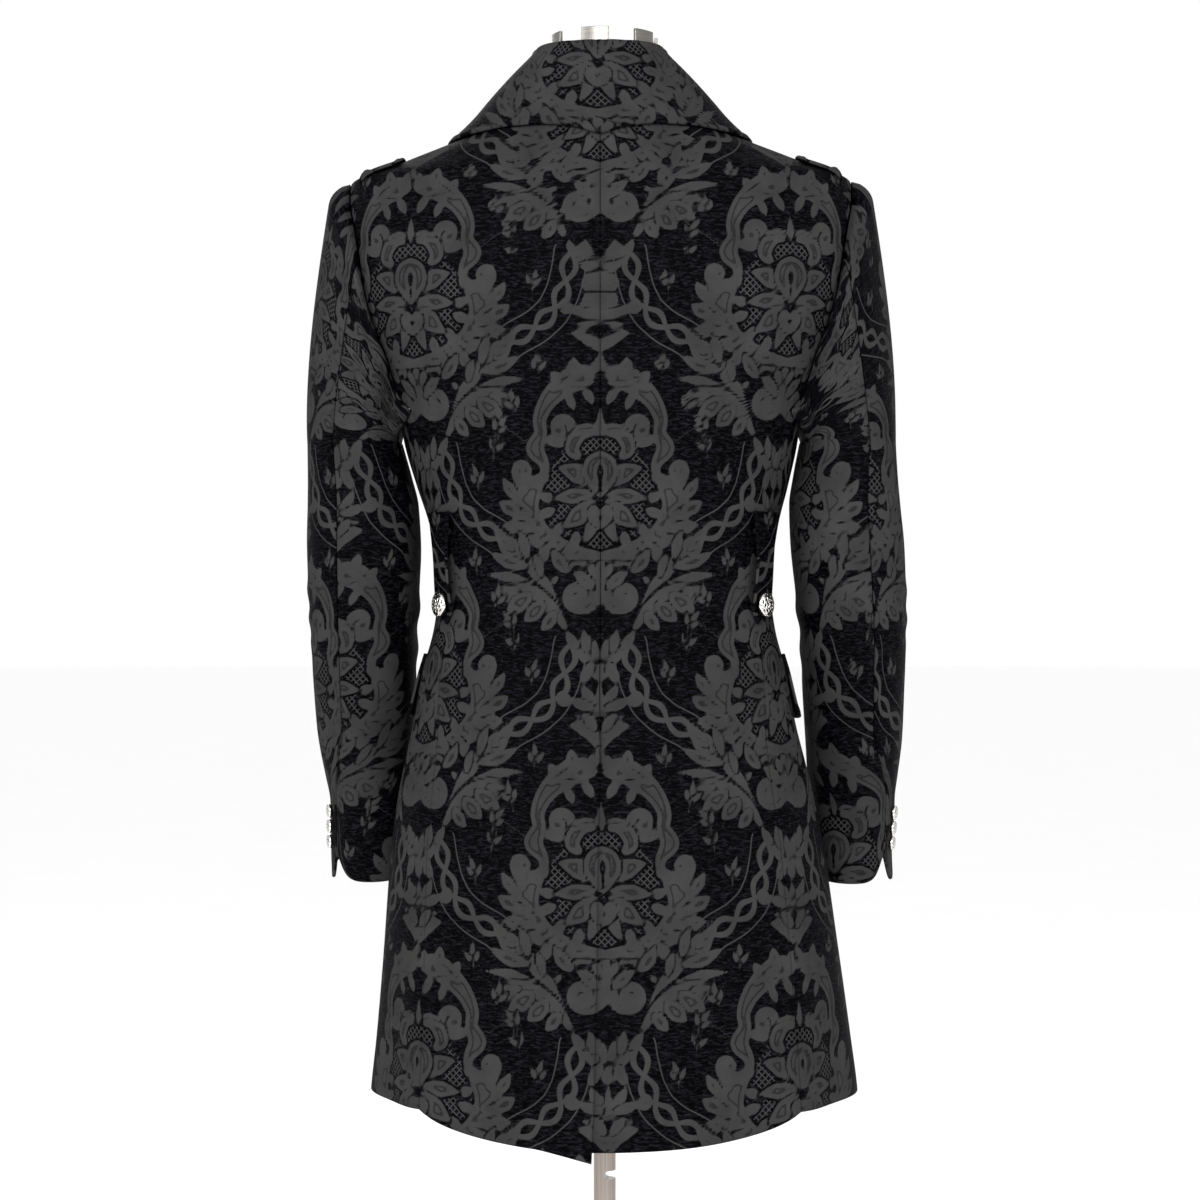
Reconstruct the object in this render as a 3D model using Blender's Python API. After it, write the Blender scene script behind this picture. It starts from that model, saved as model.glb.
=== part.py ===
"""A three-quarter overcoat of damask cloth, worn by a limbless dress form on a pole stand.

Sizes are in millimetres and become metres where each mesh is made. +Z is up, the coat's
front faces -Y, and the wearer's left is +X. The origin is under the middle of the base.
"""

import math

import bmesh
import bpy
import numpy as np
from mathutils import Matrix, Vector

for leftover in list(bpy.data.objects):
    bpy.data.objects.remove(leftover)

MM = 0.001

# The cloth, and how closely its pieces lie together
WALL = 2.6
SEAM_GAP = 0.3
SIDE_EASE = 0.08
LYING_GAP = 0.5

# Heights above the floor
HEM = 590
VENT_TOP = 887
UNDERARM = 1185
SEAM_TOP = 1196
SHOULDER_TIP = 1402
NECK_SIDE = 1467
NECK_BACK = 1471
BREAK = 1165

# The vent and the front overlap. The vent's left panel drops a little at its corner.
UNDERLAP = 40
VENT_SPREAD = 14
VENT_DROP = (9, 5)
VENT_DROP_FROM = 640
OVERLAP = 20
LIFT = WALL + LYING_GAP

# How high lying pieces sit over the cloth under them, and how far their middles swell
SEAT = 0.5
BUTTON_SEAT = 0.8
TAB_SEAT = 1.1
TAB_SWELL = 1.4
TAB_EDGE = 0.6
FLAP_LIFT = 3.2
SHOULDER_TAB_EDGE = 1.2

# The stand
POLE_RADIUS = 10
BASE_RADIUS = 190
HUB_RADIUS = 24
HUB_TOP = 46
SOCKET_FLOOR = 5
FORM_BOTTOM = 872
NOTCH_HEIGHT = 514
NOTCH_RADIUS = 4

# The coat's rings. Squareness is the exponent of the ring's outline, 2 for an ellipse.
BODY = (
    # height, half_width, back, front, widest_at, back_squareness, front_squareness
    (550, 219.0, 173, 163, 25, 2.4, 2.3),
    (591, 217.0, 171, 161, 25, 2.4, 2.3),
    (643, 211.5, 167, 158, 25, 2.4, 2.3),
    (718, 204.0, 160, 152, 24, 2.4, 2.3),
    (789, 196.7, 152, 146, 22, 2.4, 2.3),
    (842, 188.4, 145, 141, 20, 2.4, 2.3),
    (883, 179.8, 139, 138, 17, 2.4, 2.3),
    (920, 172.0, 131, 136, 13, 2.4, 2.3),
    (963, 166.0, 121, 133, 9, 2.4, 2.3),
    (1005, 156.4, 109, 131, 5, 2.4, 2.3),
    (1023, 154.5, 106, 130, 4, 2.4, 2.3),
    (1061, 155.5, 105, 130, 2, 2.4, 2.3),
    (1094, 160.7, 107, 131, 0, 2.4, 2.3),
    (1132, 172.0, 110, 133, 0, 2.4, 2.3),
    (1163, 180.6, 113, 134, 0, 2.5, 2.3),
    (1210, 190.0, 116, 134, 0, 2.7, 2.3),
    (1246, 206.0, 118, 133, 0, 2.9, 2.3),
    (1268, 216.0, 118, 131, 0, 3.0, 2.3),
    (1294, 226.0, 118, 128, 0, 3.0, 2.3),
    (1316, 231.0, 118, 124, 0, 3.0, 2.3),
    (1355, 234.0, 115, 113, 0, 2.8, 2.3),
    (1380, 234.0, 111, 103, 0, 2.5, 2.3),
    (1402, 232.0, 106, 92, 0, 2.3, 2.2),
    (1420, 190.0, 100, 80, 0, 2.1, 2.1),
    (1440, 142.0, 92, 66, 0, 2.1, 2.1),
    (1467, 76.0, 77, 48, 0, 2.0, 2.0),
    (1480, 50.0, 68, 40, 0, 2.0, 2.0),
)

# Soft folds that open towards the hem: a ridge where deep is above nought, else a trough
FOLDS = (
    # angle, half_spread, deep, fades_at
    (24, 13, -3.5, 850),
    (44, 12, 4.5, 900),
    (66, 14, -4.0, 860),
    (95, 16, 3.0, 820),
    (128, 18, -3.0, 800),
    (154, 14, 2.5, 780),
)

# The seams of the side panels, as distances from the middle
SIDE_SEAMS = (
    # height, back_seam, front_seam
    (550, 163.5, 199),
    (700, 158.0, 186),
    (805, 154.0, 178),
    (914, 144.0, 160),
    (970, 144.5, 152),
    (1023, 145.5, 146),
    (1061, 146.0, 148),
    (1111, 149.0, 157),
    (1140, 154.0, 166),
    (1173, 163.0, 173),
    (1196, 172.0, 177),
)

# The armhole's edges, as distances from the middle
ARMHOLE = (
    # height, back_edge, front_edge
    (1196, 172, 177),
    (1208, 183, 182),
    (1226, 190, 187),
    (1246, 196, 191),
    (1268, 205, 196),
    (1294, 213, 201),
    (1316, 217, 206),
    (1340, 221, 212),
    (1355, 224, 217),
    (1380, 230, 227),
    (1402, 232, 232),
)

# How far the coat and the form are drawn in across, by height
DRAWN_IN = (
    # height, share
    (560, 0.985),
    (760, 0.988),
    (880, 0.996),
    (960, 0.984),
    (1040, 0.972),
    (1200, 0.967),
    (1400, 0.967),
    (1416, 0.962),
    (1466, 0.862),
    (1500, 0.860),
)
UPPER_TURN = 0.0386
TURNS_ABOUT = 110

# The sleeve's rings below the armpit
SLEEVE = (
    # height, inner_side, outer_side, centre_depth, half_depth
    (760, 184.0, 260.0, -84, 56.0),
    (785, 184.0, 259.0, -81, 56.0),
    (815, 183.5, 258.0, -75, 56.5),
    (849, 183.0, 258.0, -69, 57.0),
    (872, 182.5, 260.5, -62, 58.0),
    (906, 181.5, 265.0, -50, 59.5),
    (942, 180.5, 268.0, -37, 61.0),
    (980, 179.5, 270.5, -25, 63.0),
    (1030, 177.5, 273.5, -13, 66.0),
    (1080, 174.5, 274.0, -5, 70.0),
    (1115, 175.5, 272.5, -6, 73.0),
    (1140, 180.5, 271.5, -7, 75.0),
    (1170, 188.0, 271.0, -8, 76.0),
)
BICEPS = 1170
CUFF = 783
CUFF_NOTCH = 22
CUFF_CORNER = 6
CUFF_PITCH = 0.18
CUFF_TURN = 30
CAP_ROUND = 7.5
CAP_FULL = 14
SLEEVE_SQUARENESS = 2.2
BACK_SEAM = 17
FRONT_SEAM = 207
ARM_MIDDLE = (UNDERARM + SHOULDER_TIP) / 2
ARM_REACH = (SHOULDER_TIP - UNDERARM) / 2
ARM_CORNER = math.degrees(math.asin((SEAM_TOP - ARM_MIDDLE) / ARM_REACH))

# The steps that panels sewn together share along their seams
SEAM_STEPS = 13
BACK_ARM_TURNS = (*np.linspace(ARM_CORNER, BACK_SEAM, 6), *np.linspace(BACK_SEAM, 90, 6)[1:])
FRONT_ARM_TURNS = (
    *np.linspace(180 - ARM_CORNER, FRONT_SEAM, 3),
    *np.linspace(FRONT_SEAM, 90, 8)[1:],
)
SIDE_STEPS = 4
SHOULDER_STEPS = 5

# The collar by stations, from the centre back to its front end. The seam and the edge lie
# on the coat by angle and height; the fold stands free.
COLLAR = (
    # station, seam_angle, seam_height, fold_x, fold_y, fold_height, edge_angle, edge_height
    (0.00, 0, 1471.0, 0, 75, 1518.0, 0, 1432.0),
    (0.10, 14, 1471.0, 20, 73, 1518.0, 10, 1439.0),
    (0.20, 30, 1470.5, 38, 66, 1518.5, 24, 1442.0),
    (0.30, 47, 1470.0, 53, 51, 1519.5, 40, 1442.0),
    (0.40, 65, 1469.0, 62, 32, 1520.0, 54, 1440.0),
    (0.50, 83, 1468.0, 67, 10, 1520.0, 72, 1438.5),
    (0.60, 105, 1465.0, 68, -11, 1515.0, 98, 1436.5),
    (0.72, 132, 1457.0, 66, -33, 1501.0, 126, 1424.0),
    (0.86, 149, 1446.0, 60, -56, 1476.0, 142, 1405.0),
    (1.00, 160, 1433.0, 51, -78, 1444.0, 150, 1382.0),
)

# The lapel's width across, from its roll line to its outer edge
LAPEL = (
    # height, width
    (1165, 3),
    (1190, 24),
    (1230, 52),
    (1280, 76),
    (1330, 91),
    (1352, 95),
)
LAPEL_TIP = 1352
NOTCH_AT = 0.62

# The dress form's rings
FORM = (
    # height, half_width, back, front
    (872, 160, 118, 116),
    (880, 172, 130, 128),
    (920, 164, 123, 128),
    (960, 157, 113, 124),
    (1005, 147, 100, 121),
    (1061, 146, 97, 120),
    (1094, 151, 99, 121),
    (1132, 162, 102, 123),
    (1163, 171, 105, 125),
    (1210, 179, 110, 125),
    (1268, 199, 114.5, 123),
    (1316, 206, 114.5, 117),
    (1355, 208, 110.5, 107.5),
    (1380, 204, 104.5, 97.5),
    (1398, 193, 99.5, 86.5),
    (1410, 175, 95.5, 80.5),
    (1424, 146, 89.5, 72.6),
    (1440, 111, 81.5, 62.6),
    (1454, 82, 73, 54),
    (1464, 65, 66, 48),
    (1476, 61.5, 61, 46),
    (1488, 61, 60, 46),
)
RING_RADIUS = 48
RING_WALL = 3
RING_FOOT = 1488.3
TEETH_FOOT = 1508
TEETH_TOP = 1535
TOOTH_SHARE = 0.48
TEETH_TURN = 0.166
TEETH = 6
NECK_DEPTH = 7

# The fastenings
FRONT_BUTTONS = (1128, 1028, 928)
WAIST_TAB = (1008, 1108)
WAIST_TAB_HALF = 17.5
WAIST_TAB_POINT = 16
WAIST_BUTTON = 1026
COAT_BUTTON = 11
CUFF_BUTTON = 6.6
CUFF_BUTTONS = (816, 830, 844)
POCKET_TOP = 982
POCKET_DEEP = 58
POCKET_WIDE = 150
POCKET_START = 84
SHOULDER_TAB = (183, 217, -42, 50)

# The waist tab's middle line, as a distance from the middle
WAIST_LINE = (
    # height, across
    (1000, 136.0),
    (1026, 141.0),
    (1066, 143.5),
    (1110, 147.0),
)


def column(table, index):
    """One column of a table as a smooth function of the first, never past its rows."""
    places = np.array([row[0] for row in table], float)
    values = np.array([row[index] for row in table], float)
    steps = np.diff(places)
    slopes = np.diff(values) / steps
    lean = np.zeros(len(places))
    lean[0] = slopes[0]
    lean[-1] = slopes[-1]
    same = slopes[:-1] * slopes[1:] > 0
    before = np.where(same, slopes[:-1], 1)
    after = np.where(same, slopes[1:], 1)
    lean[1:-1] = np.where(same, 2 * before * after / (before + after), 0)

    def at(place):
        place = np.clip(place, places[0], places[-1])
        k = np.clip(np.searchsorted(places, place) - 1, 0, len(places) - 2)
        t = (place - places[k]) / steps[k]
        start = (1 + 2 * t) * (1 - t) ** 2 * values[k] + t * (1 - t) ** 2 * steps[k] * lean[k]
        end = t * t * (3 - 2 * t) * values[k + 1] + t * t * (t - 1) * steps[k] * lean[k + 1]
        return start + end

    return at


half_width, back_depth, front_depth, widest_at, back_square, front_square = (
    column(BODY, i) for i in range(1, 7)
)
share_across = column(DRAWN_IN, 1)


def fade(value, start, end):
    """Nought at start and one at end, easing at both."""
    t = np.clip((value - start) / (end - start), 0, 1)
    return t * t * (3 - 2 * t)


def fold_depth(angle, height):
    """How far the skirt's folds push the cloth out at a place."""
    deep = 0
    for middle, spread, most, fades_at in FOLDS:
        across = np.exp(-(((np.abs(angle) - middle) / spread) ** 2))
        deep = deep + most * across * (1 - fade(height, HEM - 30, fades_at))
    return deep


def body(angle, height):
    """The coat's outer face. The angle is nought at the centre back and 90 at the left side."""
    angle, height = np.broadcast_arrays(np.asarray(angle, float), np.asarray(height, float))
    turn = np.radians(angle)
    across = np.sin(turn)
    along = np.cos(turn)
    behind = along >= 0
    power = 2 / np.where(behind, back_square(height), front_square(height))
    middle = widest_at(height)
    depth = np.where(behind, back_depth(height) - middle, front_depth(height) + middle)
    out = 1 + fold_depth(angle, height) / 170
    x = out * half_width(height) * np.sign(across) * np.abs(across) ** power
    y = middle + out * depth * np.sign(along) * np.abs(along) ** power
    return np.stack([x, y, height], -1)


def facing(surface, first, second, small=0.4):
    """The unit direction that a surface of two values faces."""
    one = surface(first + small, second) - surface(first - small, second)
    two = surface(first, second + small) - surface(first, second - small)
    across = np.cross(one, two)
    return across / np.linalg.norm(across, axis=-1, keepdims=True)


def body_out(angle, height):
    """The direction that the coat faces, away from the form."""
    return -facing(body, angle, height)


def angle_at(x, height, front=False):
    """The angle where the coat's ring is x from the middle."""
    square = front_square(height) if front else back_square(height)
    share = np.clip(np.abs(x) / half_width(height), 0, 1)
    turn = np.degrees(np.arcsin(share ** (square / 2))) * np.sign(x)
    return 180 - turn if front else turn


def beside(angle, height, distance):
    """The angle that lies a distance further round the coat."""
    speed = np.linalg.norm(body(angle + 0.5, height) - body(angle - 0.5, height), axis=-1)
    return angle + distance / speed


back_seam_x = column(SIDE_SEAMS, 1)
front_seam_x = column(SIDE_SEAMS, 2)
back_edge_x = column(ARMHOLE, 1)
front_edge_x = column(ARMHOLE, 2)


def side_back(height):
    return angle_at(back_seam_x(height), height)


def side_front(height):
    return angle_at(front_seam_x(height), height, front=True)


def underarm(angle):
    """The height of the side panel's top edge."""
    low, high = side_back(SEAM_TOP), side_front(SEAM_TOP)
    middle, reach = (low + high) / 2, (high - low) / 2
    return UNDERARM + (SEAM_TOP - UNDERARM) * ((angle - middle) / reach) ** 2


def hem(angle):
    """The height of the hem: it dips at the back and front and rises at the sides."""
    share = np.clip(np.abs(angle) / 46, 0, 1)
    back_dip = 23 * (1 - share**3)
    front_dip = 8 * fade(np.abs(angle), 125, 180)
    side_rise = 6 * fade(np.abs(angle), 40, 80) * (1 - fade(np.abs(angle), 110, 150))
    return HEM - back_dip - front_dip + side_rise


def patch(bottom, top, left, right, rows, columns):
    """A grid of angles and heights between four edges.

    The lower and upper edges are functions of 0 to 1, and the side edges of a row place.
    """
    v = np.array([share_up(row) if rows[-1] > 1 else row for row in rows])[:, None, None]
    u = np.asarray(columns, float)[None, :, None]
    low = np.array([bottom(t) for t in columns], float)[None]
    high = np.array([top(t) for t in columns], float)[None]
    near = np.array([left(t) for t in rows], float)[:, None]
    far = np.array([right(t) for t in rows], float)[:, None]
    ends = (1 - u) * ((1 - v) * low[:, :1] + v * high[:, :1])
    ends = ends + u * ((1 - v) * low[:, -1:] + v * high[:, -1:])
    grid = (1 - v) * low + v * high + (1 - u) * near + u * far - ends
    return grid[..., 0], grid[..., 1]


def through(knots, t):
    """A value read along a list of pairs by straight lines."""
    return float(np.interp(t, [k[0] for k in knots], [k[1] for k in knots]))


def spread(*parts):
    """Row places: each part is its end and how many steps lead to it."""
    places = [0.0]
    for end, steps in parts:
        start = places[-1]
        places += [start + (end - start) * (i + 1) / steps for i in range(steps)]
    return places


def finish(name, colour, roughness, metallic=0.0):
    """A plain material for one piece."""
    material = bpy.data.materials.new(name)
    material.use_nodes = True
    shader = material.node_tree.nodes["Principled BSDF"]
    shader.inputs["Base Color"].default_value = (*colour, 1)
    shader.inputs["Roughness"].default_value = roughness
    shader.inputs["Metallic"].default_value = metallic
    return material


CLOTH = ((0.022, 0.022, 0.025), 0.85, 0.0)
SILVER = ((0.75, 0.74, 0.72), 0.25, 1.0)
STEEL = ((0.42, 0.39, 0.36), 0.35, 1.0)
COVER = ((0.55, 0.53, 0.50), 0.9, 0.0)


def add(name, mesh, look):
    """Put a mesh in the scene as one named piece with its own material."""
    mesh.name = name
    shaped = bpy.data.objects.new(name, mesh)
    mesh.materials.append(finish(name, *look))
    mesh.shade_smooth()
    mesh.set_sharp_from_angle(angle=math.radians(40))
    bpy.context.scene.collection.objects.link(shaped)
    return shaped


def solid(name, points, faces, look):
    """A closed piece from points in millimetres."""
    mesh = bpy.data.meshes.new(name)
    mesh.from_pydata([tuple(float(c) * MM for c in p) for p in points], [], faces)
    bm = bmesh.new()
    bm.from_mesh(mesh)
    bmesh.ops.recalc_face_normals(bm, faces=bm.faces)
    bm.to_mesh(mesh)
    bm.free()
    return add(name, mesh, look)


def wall(name, outer, inner, look=CLOTH, cells=None):
    """A wall between two like grids, in either order, over all cells or the marked ones.

    Cells with as many columns as the grids go all the way round.
    """
    rows, columns = outer.shape[:2]
    if cells is None:
        cells = np.ones((rows - 1, columns - 1), bool)
    back = rows * columns
    faces = []
    edges = {}
    for i, j in zip(*np.nonzero(cells)):
        a, b = i * columns + j, i * columns + (j + 1) % columns
        c, d = b + columns, a + columns
        faces.append((a, b, c, d))
        faces.append((d + back, c + back, b + back, a + back))
        for edge in ((a, b), (b, c), (c, d), (d, a)):
            if edge[::-1] in edges:
                del edges[edge[::-1]]
            else:
                edges[edge] = True
    faces += [(b, a, a + back, b + back) for a, b in edges]
    used = sorted({k for face in faces for k in face})
    places = {k: n for n, k in enumerate(used)}
    points = np.concatenate([outer.reshape(-1, 3), inner.reshape(-1, 3)])[used]
    faces = [tuple(places[k] for k in face) for face in faces]
    return solid(name, points, faces, look)


def drawn_in(points):
    """The points drawn in across, and turned a little above the waist."""
    moved = points.copy()
    turned_by = UPPER_TURN * fade(moved[..., 2], 1060, 1200)
    moved[..., 0] *= share_across(moved[..., 2])
    moved[..., 0] += turned_by * (TURNS_ABOUT - moved[..., 1])
    return moved


def sway(points):
    """The coat as it hangs, its skirt a little to the wearer's right of the pole."""
    moved = drawn_in(points)
    moved[..., 0] -= 9 * fade(moved[..., 2], 960, HEM)
    return moved


def placed(points, side):
    """Points of the left half, or mirrored for the right, with the skirt's sway."""
    return sway(points * np.array([side, 1, 1]))


def lying(name, angle, height, side, above=0, thick=WALL, cells=None):
    """A wall that follows the coat at a height above its outer face."""
    outer = body(angle, height)
    out = body_out(angle, height)
    above = np.asarray(above, float)[..., None]
    top = placed(outer + out * above, side)
    under = placed(outer + out * (above - thick), side)
    return wall(name, top, under, cells=cells)


def turned(name, profile, segments, look, place=None, facing_to=None):
    """A piece turned from a profile of radius and height, its ends on the axis."""
    points = []
    rings = []
    for radius, rise in profile:
        if radius == 0:
            rings.append([len(points)])
            points.append((0, 0, rise))
            continue
        rings.append(list(range(len(points), len(points) + segments)))
        for i in range(segments):
            turn = 2 * math.pi * i / segments
            points.append((radius * math.cos(turn), radius * math.sin(turn), rise))
    faces = []
    for low, high in zip(rings, rings[1:]):
        for i in range(segments):
            j = (i + 1) % segments
            if len(low) == 1:
                faces.append((low[0], high[i], high[j]))
            elif len(high) == 1:
                faces.append((low[i], high[0], low[j]))
            else:
                faces.append((low[i], high[i], high[j], low[j]))
    piece = solid(name, points, faces, look)
    if place is not None:
        tilt = Vector(facing_to).to_track_quat("Z", "Y").to_matrix().to_4x4()
        piece.matrix_world = Matrix.Translation(Vector(place) * MM) @ tilt
    return piece


def panel_edge(v, seam, turns, gap, front):
    """A panel's edge along its side seam, armhole and shoulder, as an angle and a height.

    The whole part of v names the stretch and the rest of it how far along that stretch is.
    """
    if v <= 1:
        height = hem(90) + (SEAM_TOP - hem(90)) * v
        return beside(seam(height), height, gap), height
    if v <= 2:
        turn = np.interp((v - 1) * (len(turns) - 1), range(len(turns)), turns)
        height = ARM_MIDDLE + ARM_REACH * math.sin(math.radians(turn))
        edge = front_edge_x(height) if front else back_edge_x(height)
        angle = float(angle_at(edge, height, front))
        limit = float(beside(90, height, gap))
        return (max(angle, limit) if front else min(angle, limit)), height
    height = SHOULDER_TIP + (NECK_SIDE - SHOULDER_TIP) * (v - 2)
    return beside(90, height, gap), height


def panel_rows(turns):
    """The row places of a panel that has a side seam, an armhole and a shoulder."""
    return spread((1, SEAM_STEPS), (2, len(turns) - 1), (3, SHOULDER_STEPS))


def share_up(v):
    """How far up a whole panel a row place is."""
    return through(((0, 0), (1, 0.6), (2, 0.84), (3, 1)), v)


def back_panel(side):
    """One back, from the centre back seam to the side back seam, armhole and shoulder."""
    left = side > 0

    def bottom(u):
        angle = u * beside(side_back(hem(90)), hem(90), -SEAM_GAP / 2)
        return angle, hem(angle)

    def top(u):
        angle = u * beside(90, NECK_SIDE, -SEAM_GAP / 2)
        return angle, NECK_BACK + (NECK_SIDE - NECK_BACK) * u

    def centre(v):
        height = through(((0, hem(0)), (1, 1200), (2, 1420), (3, NECK_BACK)), v)
        return angle_at(SEAM_GAP / 2, height), height

    def outer_edge(v):
        return panel_edge(v, side_back, BACK_ARM_TURNS, -SEAM_GAP / 2, False)

    rows = panel_rows(BACK_ARM_TURNS)
    angle, height = patch(bottom, top, centre, outer_edge, rows, spread((1, 8)))
    cells = None
    above = np.zeros(angle.shape)
    if left:
        open_share = np.clip((VENT_TOP - height[:, :1]) / (VENT_TOP - hem(0)), 0, 1)
        edge_x = SEAM_GAP / 2 + VENT_SPREAD * open_share
        edge = angle_at(edge_x, height[:, :1])
        angle = edge + (angle - angle[:, :1]) * (1 - edge / angle[:, -1:])
        for edge_column, drop in enumerate(VENT_DROP):
            down = fade(-height[:, edge_column], -VENT_DROP_FROM, -hem(0) - 1)
            height[:, edge_column] -= drop * down
        x = body(angle, height)[..., 0]
        above = LIFT * (1 - fade(x, UNDERLAP + 6, 95)) * (1 - fade(height, 895, 965))
    else:
        inset = [angle_at(-x, height[:, 0]) for x in (UNDERLAP, UNDERLAP / 2)]
        angle = np.concatenate([np.stack(inset, 1), angle], 1)
        height = np.concatenate([height[:, :1], height[:, :1], height], 1)
        above = np.zeros(angle.shape)
        cells = np.ones((height.shape[0] - 1, height.shape[1] - 1), bool)
        cells[height[1:, 0] > VENT_TOP, :2] = False
    name = "back_left" if left else "back_right"
    lying(name, angle, height, side, above, cells=cells)


def side_panel(side):
    """One side, from the side back seam to the side front seam, under the arm."""

    def across(u, height):
        start = beside(side_back(height), height, SEAM_GAP / 2 + SIDE_EASE)
        end = beside(side_front(height), height, -SEAM_GAP / 2)
        return start + (end - start) * u

    def bottom(u):
        return across(u, hem(90)), hem(90)

    def top(u):
        angle = across(u, SEAM_TOP)
        return angle, underarm(angle)

    def edge(u):
        def at(v):
            height = hem(90) + (SEAM_TOP - hem(90)) * v
            return across(u, height), height

        return at

    rows, columns = spread((1, SEAM_STEPS)), spread((1, SIDE_STEPS))
    angle, height = patch(bottom, top, edge(0), edge(1), rows, columns)
    lying("side_left" if side > 0 else "side_right", angle, height, side)


collar_table = [column(COLLAR, i) for i in range(1, 8)]
seam_angle, seam_height, fold_x, fold_y, fold_height, edge_angle, edge_height = collar_table


def roll_x(height):
    """How far the roll line is from the middle. It starts past the middle, at the overlap."""
    top = body(seam_angle(1), seam_height(1))[0]
    share = np.clip((height - BREAK) / (seam_height(1) - BREAK), 0, 1)
    return -OVERLAP + (top - 3 + OVERLAP) * share


def front_lift(x, height):
    """The left front lies over the right one where they overlap."""
    return LIFT * (1 - fade(x, OVERLAP + 16, 90)) * (1 - fade(height, 1240, 1320))


def front_panel(side):
    """One front, from the side front seam, armhole and shoulder to its edge and roll line."""

    def bottom(u):
        start = beside(side_front(hem(90)), hem(90), SEAM_GAP / 2)
        end = angle_at(-OVERLAP, HEM, front=True)
        angle = start + (end - start) * u
        return angle, hem(angle)

    def top(u):
        start = 0.535
        station = start + (1 - start) * u
        turn = beside(90, NECK_SIDE, SEAM_GAP / 2) - seam_angle(start)
        rise = NECK_SIDE - seam_height(start) + 0.6
        angle = seam_angle(station) + turn * (1 - u)
        return angle, seam_height(station) - 0.6 + rise * (1 - u)

    def outer_edge(v):
        return panel_edge(v, side_front, FRONT_ARM_TURNS, SEAM_GAP / 2, True)

    def front_edge(v):
        knots = ((0, hem(180)), (1, BREAK + 6), (3, top(1)[1]))
        height = through(knots, v)
        return angle_at(roll_x(height), height, front=True), height

    rows = panel_rows(FRONT_ARM_TURNS)
    columns = [0, 0.15, 0.3, 0.46, 0.62, 0.76, 0.87, 0.94, 1]
    angle, height = patch(bottom, top, outer_edge, front_edge, rows, columns)
    x = body(angle, height)[..., 0]
    above = front_lift(x, height) if side > 0 else 0 * x
    lying("front_left" if side > 0 else "front_right", angle, height, side, above)


def armhole(around):
    """The coat's armhole edge. Nought is the back, 90 the shoulder and 180 the front."""
    height = ARM_MIDDLE + ARM_REACH * math.sin(math.radians(around))
    front = math.cos(math.radians(around)) < 0
    if height >= SEAM_TOP:
        edge = front_edge_x(height) if front else back_edge_x(height)
        return body(angle_at(edge, height, front), height)
    below = around if around < 90 else around - 360
    share = (ARM_CORNER - below) / (2 * (90 + ARM_CORNER))
    angle = side_back(SEAM_TOP) + (side_front(SEAM_TOP) - side_back(SEAM_TOP)) * share
    return body(angle, underarm(angle))


inner_side, outer_side, centre_depth, half_depth = (column(SLEEVE, i) for i in range(1, 5))


def sleeve_ring(around, height):
    """The sleeve's inner face below the armpit, by its own angle and a height."""
    turn = np.radians(around + CUFF_TURN * fade(-height, -925, -845))
    power = 2 / SLEEVE_SQUARENESS
    across = np.sign(np.sin(turn)) * np.abs(np.sin(turn)) ** power
    along = np.sign(np.cos(turn)) * np.abs(np.cos(turn)) ** power
    middle = (inner_side(height) + outer_side(height)) / 2
    half = (outer_side(height) - inner_side(height)) / 2
    x = middle + half * across
    depth = half_depth(height) * along
    pitch = CUFF_PITCH * fade(-height, -BICEPS, -CUFF)
    return np.stack([x, centre_depth(height) + depth, height - depth * pitch], -1)


def cuff_height(around):
    """The cuff's edge, with the notch where the vent's corners part and the upper one's drop."""
    off = (around - BACK_SEAM + 180) % 360 - 180
    notch = np.exp(-((np.abs(off) / np.where(off > 0, 9, 14)) ** 1.6))
    corner = np.exp(-(((off - 24) / 14) ** 2))
    return CUFF + CUFF_NOTCH * notch - CUFF_CORNER * corner


def sleeve(around, along):
    """A point inside the sleeve's wall. along is 0 at the armhole, 1 at the biceps, 2 at the cuff."""
    around, along = np.broadcast_arrays(np.asarray(around, float), np.asarray(along, float))
    flat = around.ravel()
    start = np.array([armhole(a) for a in flat]).reshape(*around.shape, 3)
    start[..., 0] += 0.6
    t = np.clip(along, 0, 1)[..., None]
    end = sleeve_ring(around, np.full(around.shape, float(BICEPS)))
    rounded = np.clip(t / 0.07, 0, 1)
    bulge = np.sqrt(rounded * (2 - rounded)) * (1 - t**3)
    turn = np.radians(around)
    puff = CAP_ROUND * (1 + np.sin(turn))
    out = np.stack([np.maximum(np.sin(turn), 0) * puff, np.cos(turn) * puff, 0 * turn], -1)
    cap = start + (end - start) * t + out * bulge
    cap[..., 0] += CAP_FULL * np.maximum(-np.sin(turn), 0) * (t * (1 - t))[..., 0]
    down = BICEPS - (BICEPS - cuff_height(around)) * np.clip(along - 1, 0, 1)
    low = sleeve_ring(around, down)
    return np.where((along <= 1)[..., None], cap, low)


def sleeve_out(around, along):
    """The direction that the sleeve faces, kept level with the seam at the armhole."""
    one = sleeve(around + 1, along) - sleeve(around - 1, along)
    two = sleeve(around, np.minimum(along + 0.01, 2)) - sleeve(around, np.maximum(along - 0.01, 0))
    across = np.cross(one, two)
    across[..., 0] *= fade(along, -0.001, 0.07)
    return across / np.linalg.norm(across, axis=-1, keepdims=True)


def hung(points, side):
    """Points of the left sleeve, or mirrored for the right, with the arms' own sway."""
    moved = placed(points, side)
    moved[..., 0] -= (1.0 if side > 0 else 3.5) * fade(-points[..., 2], -1110, -980)
    moved[..., 0] += 3 * fade(-points[..., 2], -850, -790)
    return moved


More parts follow.
